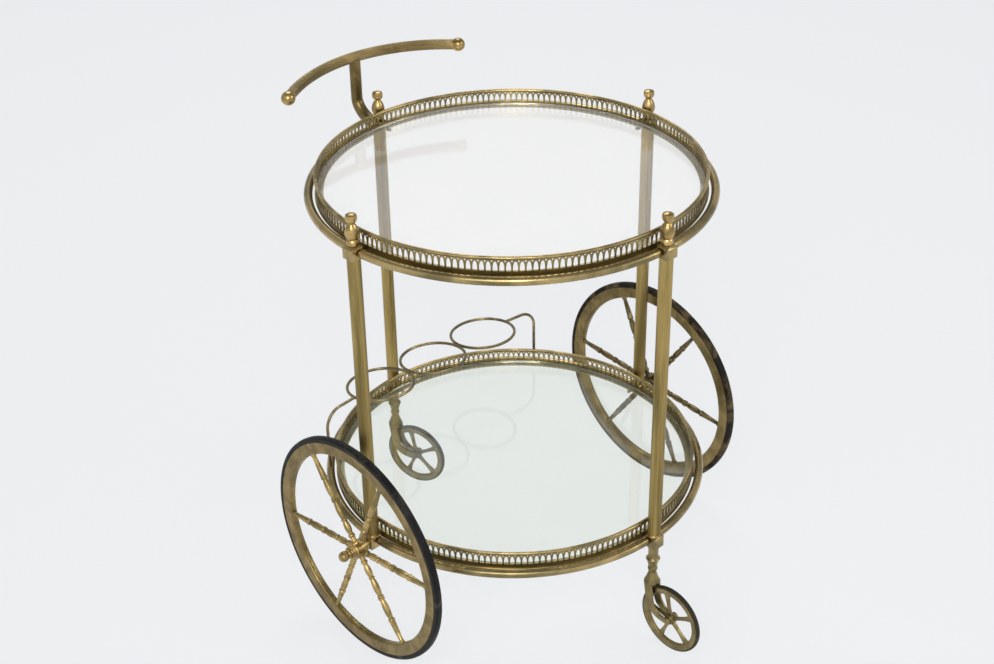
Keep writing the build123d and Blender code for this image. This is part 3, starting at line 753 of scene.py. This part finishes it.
def placeHandleBalls():
    # a ball with a small collar where it meets the bar
    radius, top = handleBall["radius"], handleBall["top"]
    outline = [
        (0, -radius), (radius, 0, *handleBall["seat"]), (*handleBall["collar"], *handleBall["waist"]), top,
        (0, top[1]),
    ]
    ball = turnedMesh("ball", outline, arcSteps=16)
    turn = radians(handle["halfAngle"]) + (radius - handleBall["sunk"]) / handle["arc"]
    places = []
    for side in (-1, 1):
        x = side * handle["arc"] * sin(turn)
        y = handle["arc"] * (cos(turn) - 1)
        inward = Vector((-side * cos(turn), sin(turn), 0))
        facing = up.rotation_difference(inward).to_matrix().to_4x4()
        places.append((ball, handlePlace @ placedAt(x, y, 0) @ facing))
    return places


addPiece("handleBalls", placeHandleBalls(), brass["turnings"], "frame", "handle_balls")


def makeStem():
    # it leaves the block level, bends up and thins towards the bar
    y, low, rise = handle["y"], handle["bendTop"], handle["z"] - handle["bendTop"]
    thick, thin, steps = pick(handle, "rootRadius", "stemRadius", "bendSteps")
    start = Vector((0, block["out"] + block["side"] / 2, handle["rootZ"]))
    end = Vector((0, y, low))
    pull = (end - start).length
    path = hermite(start, end, Vector((0, pull, 0)), Vector((0, 0, pull)), steps)
    radii = [thick + (thin - thick) * i / steps for i in range(steps + 1)]
    for i in range(handle["riseSteps"]):
        path.append(Vector((0, y, low + rise * (i + 1) / handle["riseSteps"])))
        radii.append(thin)
    return keepMesh(tubeAlong(path, radii, 36), "stem", 50)


addPiece("handleStem", [(makeStem(), cartAxis)], brass["elbow"], "frame", "handle_stem")
print("handle made")


# bottle holder: three wire rings and two arms
holder = {
    "wire": 2.15, "ring": 47.1, "gap": 0.05, "y": 167.0, "z": 253.0, "tilt": 5.3, "azimuth": 39.0,
    "bend": 25.0, "bendSteps": 14, "headOut": 1.0, "footSunk": 0.6,
}
ringStep = 2 * (holder["ring"] + holder["wire"]) + holder["gap"]
wireRing = turnedMesh("wireRing", beadOutline(holder["ring"], holder["wire"], 0), 60, steps=120, arcSteps=9)
holderPlace = cartAxis @ placedAt(0, holder["y"], holder["z"]) @ rotated(-holder["tilt"], "X")
for i, side in ((-1, "left"), (0, "middle"), (1, "right")):
    place = holderPlace @ placedAt(i * ringStep, 0, 0)
    addPiece(side + "BottleRing", [(wireRing, place)], brass["wires"], "frame", side + "_bottle_ring")


def makeHolderArms():
    # from the outer ring level outwards, round a bend and down to the lower ring tube, then the same mirrored
    azimuth, bend, steps = radians(holder["azimuth"]), holder["bend"], holder["bendSteps"]
    footX, footY = ringTube["circle"] * cos(azimuth), ringTube["circle"] * sin(azimuth)
    footZ = ringTube["lowerZ"] + ringTube["radius"] - holder["footSunk"]
    head = Vector((ringStep + holder["ring"] + holder["headOut"], holder["y"], holder["z"]))
    corner = Vector((footX, footY, holder["z"]))
    along = (corner - head).normalized()
    centre = corner - along * bend - up * bend
    angles = [pi / 2 * i / steps for i in range(steps + 1)]
    path = [head] + [centre + along * bend * sin(a) + up * bend * cos(a) for a in angles]
    path.append(Vector((footX, footY, footZ)))
    arm = keepMesh(tubeAlong(path, [holder["wire"]] * len(path), 18), "holderArm", 60)
    pair = gather([(arm, unmoved), (arm, Matrix.Diagonal((-1, 1, 1, 1)))])
    return keepMesh(pair, "holderArms", 60)


addPiece("bottleArms", [(makeHolderArms(), cartAxis)], brass["wires"], "frame", "bottle_arms")
print("bottle holder made")


# large wheels
wheel = {
    "plane": 285.2, "radius": 159.5, "spokes": 6, "leftPhase": -6.5, "rightPhase": 5.7, "tyreRadial": 8.0,
    "tyreHalf": 4.8, "tyrePlay": 0.1, "tyreEdge": 0.3, "tyreLip": 0.5, "shoulder": 2.4, "tread": 0.7,
    "crown": 0.3, "rimHalf": 5.2, "rimInner": 136.0, "flange": 1.0, "flangeEdge": 0.6, "flangeDrop": 0.4,
    "round": 3.2, "hollow": 0.5, "grooveHalf": 4.0,
}
grooveRadius = wheel["radius"] - wheel["tyreRadial"]
hub = {
    "bore": 4.05, "seat": 11.0, "halfSeat": 4.6, "barrel": 11.7, "end": 8.5, "inner": -12.0, "outer": 14.4,
    "bead": 0.6, "beadEdge": 0.3, "step": 1.4, "innerEdge": 0.4, "play": 0.2, "swell": (2.2, 4.4, 5.8),
    "swellDrop": 0.6, "lip": (2.4, 1.2),
}
spokeLook = {
    "body": 4.5, "neck": 3.1, "ring": 4.7, "slimRing": 4.4, "thickNeck": 3.6, "sunk": 1.0, "reach": 2.0,
}


def tyreOutline():
    out, half, play = pick(wheel, "radius", "tyreHalf", "tyrePlay")
    foot, seat, edge = grooveRadius + play, wheel["grooveHalf"] - 2 * play, half - wheel["tyreEdge"]
    wall = foot + wheel["flange"]
    lip = wall + wheel["tyreLip"]
    shoulder, tread, crown = (out - wheel[key] for key in ("shoulder", "tread", "crown"))
    outer, inner = 0.8 * half, 0.5 * half
    return [
        (foot, -seat), (wall, -seat), (wall, -edge), (lip, -half), (shoulder, -half),
        (tread, -outer, crown, -inner), (out, 0, crown, inner), (tread, outer, shoulder, half),
        (lip, half), (wall, edge), (wall, seat), (foot, seat),
    ]


def rimOutline():
    inner, half, seat = pick(wheel, "rimInner", "rimHalf", "grooveHalf")
    curve, flange = wheel["round"], grooveRadius + wheel["flange"]
    middle, cut = (inner + curve + flange) / 2, curve * (1 - sqrt(0.5))
    edge, drop = flange - wheel["flangeEdge"], half - wheel["flangeDrop"]
    return [
        (grooveRadius, -seat), (flange, -seat), (flange, -drop), (edge, -half),
        (middle, wheel["hollow"] - half, inner + curve, -half),
        (inner + cut, cut - half, inner, curve - half),
        (inner, half - curve), (inner + cut, half - cut, inner + curve, half),
        (middle, half - wheel["hollow"], edge, half), (flange, drop), (flange, seat), (grooveRadius, seat),
    ]


def hubOutline():
    inner, outer, half, seat, end = pick(hub, "inner", "outer", "halfSeat", "seat", "end")
    bead, beadEdge, step, edge = seat + hub["bead"], hub["beadEdge"], hub["step"], hub["innerEdge"]
    swell, past, neck = (half + reach for reach in hub["swell"])
    lip, lipEdge = (outer - reach for reach in hub["lip"])
    return [
        (hub["bore"], inner), (end - edge, inner), (end, inner + edge), (end, 0.83 * inner),
        (0.88 * end, 0.7 * inner, 1.05 * end, -half - step), (bead - beadEdge, -half - step),
        (bead, beadEdge - half - step), (bead, -half), (seat, -half), (seat, half),
        (hub["barrel"], swell, seat - hub["swellDrop"], past), (0.91 * end, neck, 0.91 * end, lip),
        (end, lipEdge, 0.93 * end, outer), (hub["bore"], outer),
    ]


def spokeOutline():
    # beads and swellings at shares of the way from the axle to the rim
    body, neck, ring, slimRing, thickNeck, sunk, reach = spokeLook.values()
    r = wheel["rimInner"]
    start, end = hub["seat"] - sunk, r + reach
    return [
        (0, start), (1.15 * neck, start), (1.15 * neck, 0.125 * r), (ring, 0.142 * r, 1.12 * neck, 0.159 * r),
        (neck, 0.17 * r), (body, 0.234 * r, neck, 0.296 * r), (slimRing, 0.31 * r, neck, 0.323 * r),
        (body, 0.412 * r, neck, 0.497 * r), (ring, 0.509 * r, thickNeck, 0.521 * r),
        (ring, 0.533 * r, neck, 0.545 * r), (body, 0.642 * r, neck, 0.74 * r),
        (ring, 0.753 * r, 0.93 * body, 0.766 * r), (0.88 * neck, 0.974 * r),
        (1.2 * neck, 0.99 * r, neck, end), (0, end),
    ]


cap = {
    "face": 14.6, "flange": 7.0, "flangeEdge": 0.3, "flangeTop": 1.5, "neck": 5.0, "neckFoot": (5.3, 16.9),
    "ball": 7.2, "end": 30.6,
}
axle = {"root": -15.3, "sleeve": 6.5, "edge": 0.4, "radius": 4.0}


def capOutline():
    face, flange, edge, neck = pick(cap, "face", "flange", "flangeEdge", "neck")
    ball, end = cap["ball"], cap["end"]
    ballStart = end - ball - sqrt(ball**2 - neck**2)
    return [
        (0, face), (flange - edge, face), (flange, face + edge), (flange, face + cap["flangeTop"]),
        (*cap["neckFoot"], neck, ballStart), (ball, end - ball, 0, end),
    ]


def axleOutline():
    root, sleeve, radius, face = axle["root"], axle["sleeve"], axle["radius"], cap["face"]
    shoulder = hub["inner"] - hub["play"]
    return [
        (0, root), (sleeve, root), (sleeve, shoulder - axle["edge"]), (sleeve - axle["edge"], shoulder),
        (radius, shoulder), (radius, face), (0, face),
    ]


tyreMesh = turnedMesh("tyre", tyreOutline(), place=toX, steps=180, arcSteps=5)
rimMesh = turnedMesh("rim", rimOutline(), 30, toX, steps=180)
hubMesh = turnedMesh("hub", hubOutline(), 30, toX, steps=56)
spokeMesh = turnedMesh("spoke", spokeOutline(), 40, steps=28)
capMesh = turnedMesh("cap", capOutline(), 40, toX, arcSteps=14)
axleMesh = turnedMesh("axle", axleOutline(), 30, toX, steps=40)
rightWheel = cartAxis @ placedAt(wheel["plane"], 0, wheel["radius"])
leftWheel = cartAxis @ placedAt(-wheel["plane"], 0, wheel["radius"]) @ rotated(180, "Z")
phases = (wheel["rightPhase"], 180 - wheel["leftPhase"])
for side, place, phase in zip(("right", "left"), (rightWheel, leftWheel), phases):
    # each wheel's spokes and hub take their own side's copy, painted light on the left and painted shade on
    # the right
    body, spindlesWithPaintedLight = side + "_wheel", brass[side + "Spindles"]
    turns = [rotated(phase - 90 + 360 / wheel["spokes"] * i, "X") for i in range(wheel["spokes"])]
    addPiece(side + "Tyre", [(tyreMesh, place)], rubber[side], body, side + "_tyre")
    addPiece(side + "Rim", [(rimMesh, place)], brass["wheels"], body, side + "_rim")
    addPiece(side + "Hub", [(hubMesh, place)], spindlesWithPaintedLight, body, side + "_hub")
    addPiece(side + "Spokes", [(spokeMesh, place @ turn) for turn in turns], spindlesWithPaintedLight, body, side + "_spokes")
wheelPlaces = (rightWheel, leftWheel)
# both axle caps take the left wheel's lit copy, painted light
addPiece("axleCaps", [(capMesh, place) for place in wheelPlaces], brass["leftSpindles"], "frame", "axle_caps")
addPiece("wheelAxles", [(axleMesh, place) for place in wheelPlaces], brass["frame"], "frame", "wheel_axles")
print("large wheels made")


# casters
caster = {
    "neck": 6.8, "bead": 9.3, "throat": 5.4, "ring": 6.5, "stemTop": 152.3, "stemLong": 42.8, "gap": 0.25,
    "bore": 4.05, "boreDeep": 20.0, "pintle": 4.0, "pintleLong": 15.0, "crown": 10.8, "cone": 14.8,
    "crownDeep": 2.2, "crownEdge": 1.0, "crownSoft": 0.3, "trail": 35.0, "radius": 48.5, "tyreRadial": 2.8,
    "legInside": 6.0, "legThick": 3.2, "legHalf": 7.0, "legEnd": 5.4, "eyeStart": -80, "eyeSweep": 253,
    "eyeSteps": 20, "soft": 0.8, "pin": 3.0, "pinHead": 4.6, "headHigh": 2.0, "pinPlay": 0.1,
    "backTurn": 18.0,
}
roller = {
    "half": 3.4, "rimInner": 38.0, "rimBead": 1.8, "rimCrown": 0.8, "rimRound": 0.4, "rimEdge": 0.2,
    "hub": 7.6, "hubEnd": 6.2, "hubRound": (0.4, 2.0), "hubPlay": 0.2, "web": 1.9, "spokes": 5, "phase": 78.0,
    "armRoot": 3.6, "armWaist": 2.3, "armTip": 4.6, "armSunk": (1.5, 0.4), "tyreCrown": 0.7, "tyreEdge": 0.6,
}
stemEnd = caster["stemTop"] - caster["stemLong"]
onTrail = placedAt(0, -caster["trail"], caster["radius"])  # from the swivel to the axle


def stemOutline():
    neck, bead, throat, top, long = pick(caster, "neck", "bead", "throat", "stemTop", "stemLong")
    bore, deep, foot = caster["bore"], stemEnd + caster["boreDeep"], throat - 0.4
    return [
        (0, top), (neck + 0.7, top), (neck, top - 0.16 * long, neck, top - 0.31 * long),
        (neck + 0.5, top - 0.42 * long, bead, top - 0.48 * long), (bead, top - 0.51 * long),
        (neck + 0.4, top - 0.62 * long, neck - 0.4, top - 0.72 * long), (throat, top - 0.745 * long),
        (throat, top - 0.8 * long), (caster["ring"], top - 0.87 * long, throat + 0.3, top - 0.945 * long),
        (foot, top - 0.965 * long), (foot, stemEnd), (bore, stemEnd), (bore, deep), (0, deep),
    ]


def crownOutline(top, low):
    # the cone over the legs and the pintle that turns in the stem
    wide, edge, soft, pintle = pick(caster, "crown", "crownEdge", "crownSoft", "pintle")
    foot, end = low - caster["crownDeep"], top + caster["pintleLong"]
    return [
        (0, foot), (wide - edge, foot), (wide, foot + edge), (wide, low - soft), (wide - soft, low + soft),
        (0.72 * wide, low + 0.45 * caster["cone"], 0.49 * wide, top), (pintle, top), (pintle, end), (0, end),
    ]


def smoothLine(points, steps):
    # a curve through all points, each with the slope of its neighbours
    line = [points[0]]
    for i in range(len(points) - 1):
        before, here, there = points[max(i - 1, 0)], points[i], points[i + 1]
        after = points[min(i + 2, len(points) - 1)]
        line += hermite(here, there, (there - before) / 2, (after - here) / 2, steps)[1:]
    return line


def makeLeg(low):
    # side view of a fork leg: down the front, round the axle's eye and up the back
    hubY, hubZ, end = -caster["trail"], caster["radius"], caster["legEnd"]
    drop, edge, half = low - 1 - hubZ, low + 0.4, caster["legHalf"]
    frontLine = [
        (half, edge), (-0.065 * hubY, hubZ + 0.42 * drop), (0.086 * hubY, hubZ + 0.115 * drop),
        (0.45 * hubY, hubZ - 0.07 * drop),
    ]
    backLine = [
        (0.55 * hubY, hubZ + 0.12 * drop), (0.31 * hubY, hubZ + 0.35 * drop),
        (0.24 * hubY, hubZ + 0.65 * drop), (-half, edge),
    ]
    steps = caster["eyeSteps"]
    eye = [radians(caster["eyeStart"] - caster["eyeSweep"] * i / steps) for i in range(steps + 1)]
    eye = [Vector((hubY + end * cos(a), 0, hubZ + end * sin(a))) for a in eye]
    front = smoothLine([Vector((y, 0, z)) for y, z in frontLine] + eye[:1], 6)
    rear = smoothLine(eye[-1:] + [Vector((y, 0, z)) for y, z in backLine], 6)
    return makePlate("leg", front + eye[1:] + rear[1:], caster["legThick"])


def makePlate(name, points, thick):
    bm = bmesh.new()
    bm.faces.new([bm.verts.new(point * mm) for point in points])
    extrude(bm, (0, thick * mm, 0))
    bmesh.ops.recalc_face_normals(bm, faces=bm.faces[:])
    softenEdges(bm, caster["soft"], 3, 60)
    return keepMesh(bm, name, 40)


def makeFork():
    top = stemEnd - caster["gap"]
    low = top - caster["cone"]
    crown = turnedMesh("crown", crownOutline(top, low), 50, arcSteps=7)
    leg = makeLeg(low)
    # the side view was drawn across X, so the leg is turned to lie across Y
    rightLeg = placedAt(caster["legInside"] + caster["legThick"], 0, 0) @ rotated(90, "Z")
    leftLeg = placedAt(-caster["legInside"], 0, 0) @ rotated(90, "Z")
    return keepMesh(gather([(crown, unmoved), (leg, rightLeg), (leg, leftLeg)]), "fork", 40)


def axlePinOutline():
    radius, head, high = pick(caster, "pin", "pinHead", "headHigh")
    half = caster["legInside"] + caster["legThick"]
    end = half + high
    return [
        (0, -end), (*domeVia(head, high, -end, -1), head, -half), (radius, -half), (radius, half),
        (head, half), (*domeVia(head, high, end), 0, end),
    ]


def casterRimOutline():
    inner, outer, soft = roller["rimInner"], caster["radius"] - caster["tyreRadial"], roller["rimRound"]
    bead, web = inner + roller["rimBead"], roller["web"] + soft
    half, edge = roller["half"] - soft, roller["half"] - roller["rimEdge"]
    return [
        (inner, -web), (bead, -half, outer, -edge), (outer, edge), (bead, half, inner, web),
        (inner - roller["rimCrown"], 0, inner, -web),
    ]


def casterHubOutline():
    bore, half = caster["pin"] + caster["pinPlay"], caster["legInside"] - roller["hubPlay"]
    end, wide, web = pick(roller, "hubEnd", "hub", "web")
    inset, drop = roller["hubRound"]
    return [
        (bore, -half), (end, -half), (wide - inset, drop - half, wide, -web), (wide, web),
        (wide - inset, half - drop, end, half), (bore, half),
    ]


def makeCasterWheel():
    web, root, waist, tip = pick(roller, "web", "armRoot", "armWaist", "armTip")
    start, stop = roller["hub"] - roller["armSunk"][0], roller["rimInner"] + roller["armSunk"][1]
    middle = (start + stop) / 2
    armLine = [(start, -root), (middle, -waist, stop, -tip), (stop, tip), (middle, waist, start, root)]
    arm = makePlate("casterArm", outlinePoints(armLine, 8), 2 * web)
    rim = turnedMesh("casterRim", casterRimOutline(), 40, steps=96)
    boss = turnedMesh("casterHub", casterHubOutline(), 35, steps=40)
    lay = rotated(-90, "X") @ placedAt(0, -web, 0)
    arms = [(arm, rotated(360 * i / roller["spokes"], "Z") @ lay) for i in range(roller["spokes"])]
    flat = cleanUp(gather([(rim, unmoved), (boss, unmoved)] + arms), 40)
    upright = onTrail @ Matrix(((0, 0, 1, 0), (1, 0, 0, 0), (0, 1, 0, 0), (0, 0, 0, 1)))
    shiftMesh(flat, upright @ rotated(roller["phase"], "Z"))
    return keepMesh(flat, "casterWheel", 40)


def casterTyreOutline():
    outer, inner = caster["radius"], caster["radius"] - caster["tyreRadial"]
    tread, half = outer - roller["tyreCrown"], roller["half"]
    wall, edge = half - roller["rimEdge"], half - roller["tyreEdge"]
    return [(inner, -wall), (tread, -edge), (outer, 0, tread, edge), (inner, wall)]


stemMesh = turnedMesh("casterStem", stemOutline(), 35, arcSteps=8)
forkMesh, casterWheelMesh = makeFork(), makeCasterWheel()
axlePinMesh = turnedMesh("axlePin", axlePinOutline(), place=onTrail @ toX, steps=36)
casterTyreMesh = turnedMesh("casterTyre", casterTyreOutline(), place=onTrail @ toX, steps=96)
frontCaster = cartAxis @ placedAt(0, -post["circle"], 0)
backStem = cartAxis @ placedAt(0, post["circle"], 0)
backCaster = backStem @ rotated(caster["backTurn"], "Z")
stemPlaces = [(stemMesh, frontCaster), (stemMesh, backStem)]
addPiece("casterStems", stemPlaces, brass["casters"], "frame", "caster_stems")
for side, place in (("front", frontCaster), ("back", backCaster)):
    swivel, body, finish = side + "_swivel", side + "_caster", brass["casters"]
    addPiece(side + "Fork", [(forkMesh, place)], finish, swivel, side + "_fork")
    addPiece(side + "AxlePin", [(axlePinMesh, place)], finish, swivel, side + "_caster_axle")
    addPiece(side + "CasterWheel", [(casterWheelMesh, place)], finish, body, body + "_wheel")
    addPiece(side + "CasterTyre", [(casterTyreMesh, place)], rubber["casters"], body, body + "_tyre")
print("casters made")


# studio: floor, soft lamps and white surroundings
studio = {
    "floorColour": (0.82, 0.83, 0.85), "floorSize": 14.0, "floorRoughness": 0.9, "floorGloss": 0.1,
    "whiteColour": (0.905, 0.922, 0.94),
    "throughGlass": (1, 1, 1), "whiteShare": 0.8, "throughShare": 0.95, "skyColour": (0.84, 0.855, 0.875),
    "glossShare": 0.35, "wallColour": (0.95, 0.965, 1.0), "wallStrength": 1.05, "ceilingShare": 0.16,
    "wallTop": (0.45, 0.85), "frontToBack": (-0.8, 0.35), "backShare": 0.38,
}
warmWhite = (1.0, 0.98, 0.95)
lamps = {
    "keyLamp": {"place": (-1.95, -1.65, 2.3), "aimZ": 0.3, "side": 1.3, "power": 40, "colour": warmWhite},
    "fillLamp": {"place": (1.5, -2.0, 1.8), "aimZ": 0.3, "side": 1.0, "power": 11, "colour": warmWhite},
    "backLamp": {"place": (1.2, 1.6, 3.0), "aimZ": 0.5, "side": 1.5, "power": 28, "colour": (1, 1, 1)},
}


def floorMaterial():
    # mostly plain white to the camera and in reflections, the rest is the floor with the object's soft shadow
    material = bpy.data.materials.new("paleFloor")
    material.use_nodes = True
    tree = material.node_tree
    shader = tree.nodes["Principled BSDF"]
    wire(tree, studio["floorColour"], shader.inputs["Base Color"])
    shader.inputs["Roughness"].default_value = studio["floorRoughness"]
    shader.inputs["Specular IOR Level"].default_value = studio["floorGloss"]
    path = addNode(tree, "ShaderNodeLightPath")
    through = path.outputs["Is Transmission Ray"]
    white = addNode(tree, "ShaderNodeEmission", Strength=1.0)
    wire(tree, mixColour(tree, through, studio["whiteColour"], studio["throughGlass"]), white.inputs["Color"])
    seen = mathNode(tree, "MAXIMUM", path.outputs["Is Camera Ray"], path.outputs["Is Glossy Ray"])
    seenShare = mathNode(tree, "MULTIPLY", seen, studio["whiteShare"])
    throughShare = mathNode(tree, "MULTIPLY", through, studio["throughShare"])
    share = mathNode(tree, "MAXIMUM", seenShare, throughShare)
    surface = blendShaders(tree, share, shader.outputs["BSDF"], white.outputs[0])
    wire(tree, surface, tree.nodes["Material Output"].inputs["Surface"])
    return material


def makeFloor():
    bm = bmesh.new()
    bmesh.ops.create_circle(bm, cap_ends=True, segments=96, radius=studio["floorSize"])
    mesh = newMesh("floor", bm)
    mesh.materials.append(floorMaterial())
    floor = newObject("floor", mesh)


def makeWorld():
    # a pale front wall, a dimmer ceiling and back, and a plain sky for the camera and through glass
    world = bpy.data.worlds.new("studioWorld")
    bpy.context.scene.world = world
    world.use_nodes = True
    tree = world.node_tree
    tree.nodes.clear()
    direction = addNode(tree, "ShaderNodeTexCoord")
    parts = addNode(tree, "ShaderNodeSeparateXYZ")
    wire(tree, direction.outputs["Generated"], parts.inputs[0])
    rise = rampNode(tree, parts.outputs["Z"], (*studio["wallTop"], 1.0, studio["ceilingShare"]))
    away = mathNode(tree, "ADD", parts.outputs["X"], parts.outputs["Y"])
    strength = studio["wallStrength"]
    dim = rampNode(tree, away, (*studio["frontToBack"], strength, strength * studio["backShare"]))
    room = addNode(tree, "ShaderNodeBackground", Color=studio["wallColour"])
    wire(tree, mathNode(tree, "MULTIPLY", rise, dim), room.inputs["Strength"])
    sky = addNode(tree, "ShaderNodeBackground", Color=studio["skyColour"], Strength=1.0)
    path = addNode(tree, "ShaderNodeLightPath")
    glossy = mathNode(tree, "MULTIPLY", path.outputs["Is Glossy Ray"], studio["glossShare"])
    direct = mathNode(tree, "MAXIMUM", path.outputs["Is Camera Ray"], path.outputs["Is Transmission Ray"])
    share = mathNode(tree, "MAXIMUM", direct, glossy)
    out = addNode(tree, "ShaderNodeOutputWorld")
    wire(tree, blendShaders(tree, share, room.outputs[0], sky.outputs[0]), out.inputs["Surface"])


def softLamp(name, look):
    data = bpy.data.lights.new(name, "AREA")
    data.shape = "RECTANGLE"
    data.size = data.size_y = look["side"]
    data.energy = look["power"]
    data.color = look["colour"]
    lamp = newObject(name, data)
    lamp.location = look["place"]
    aim = Vector((0, 0, look["aimZ"]))
    lamp.rotation_euler = (aim - Vector(look["place"])).to_track_quat("-Z", "Y").to_euler()
    lamp.visible_camera = False


makeFloor()
makeWorld()
for name, look in lamps.items():
    softLamp(name, look)

# camera at the photograph's place, its place is in millimetres and from the cart's own axis
cameraLook = {
    "place": (-1294.2, -1339.9, 1480.9), "azimuth": -43.34, "elevation": 30.865, "roll": -0.968,
    "focalPixels": 1619.6, "imageWidth": 994, "sensor": 36.0, "clip": (0.05, 60),
}


def makeCamera():
    data = bpy.data.cameras.new("camera")
    data.sensor_width = cameraLook["sensor"]
    data.lens = cameraLook["focalPixels"] / cameraLook["imageWidth"] * data.sensor_width
    data.clip_start, data.clip_end = cameraLook["clip"]
    azimuth, elevation, roll = (radians(cameraLook[key]) for key in ("azimuth", "elevation", "roll"))
    level = cos(elevation)
    back = Vector((sin(azimuth) * level, -cos(azimuth) * level, sin(elevation)))
    right = (-back).cross(up).normalized()
    above = back.cross(right)
    turnedRight = right * cos(roll) + above * sin(roll)
    turnedUp = above * cos(roll) - right * sin(roll)
    pose = Matrix((turnedRight, turnedUp, back)).transposed().to_4x4()
    pose.translation = Vector(cameraLook["place"]) * mm + Vector((0, middleY, 0))
    camera = newObject("camera", data)
    camera.matrix_world = pose
    return camera


bpy.context.scene.camera = makeCamera()
bpy.context.scene.view_settings.view_transform = "Standard"

print("scene ready")
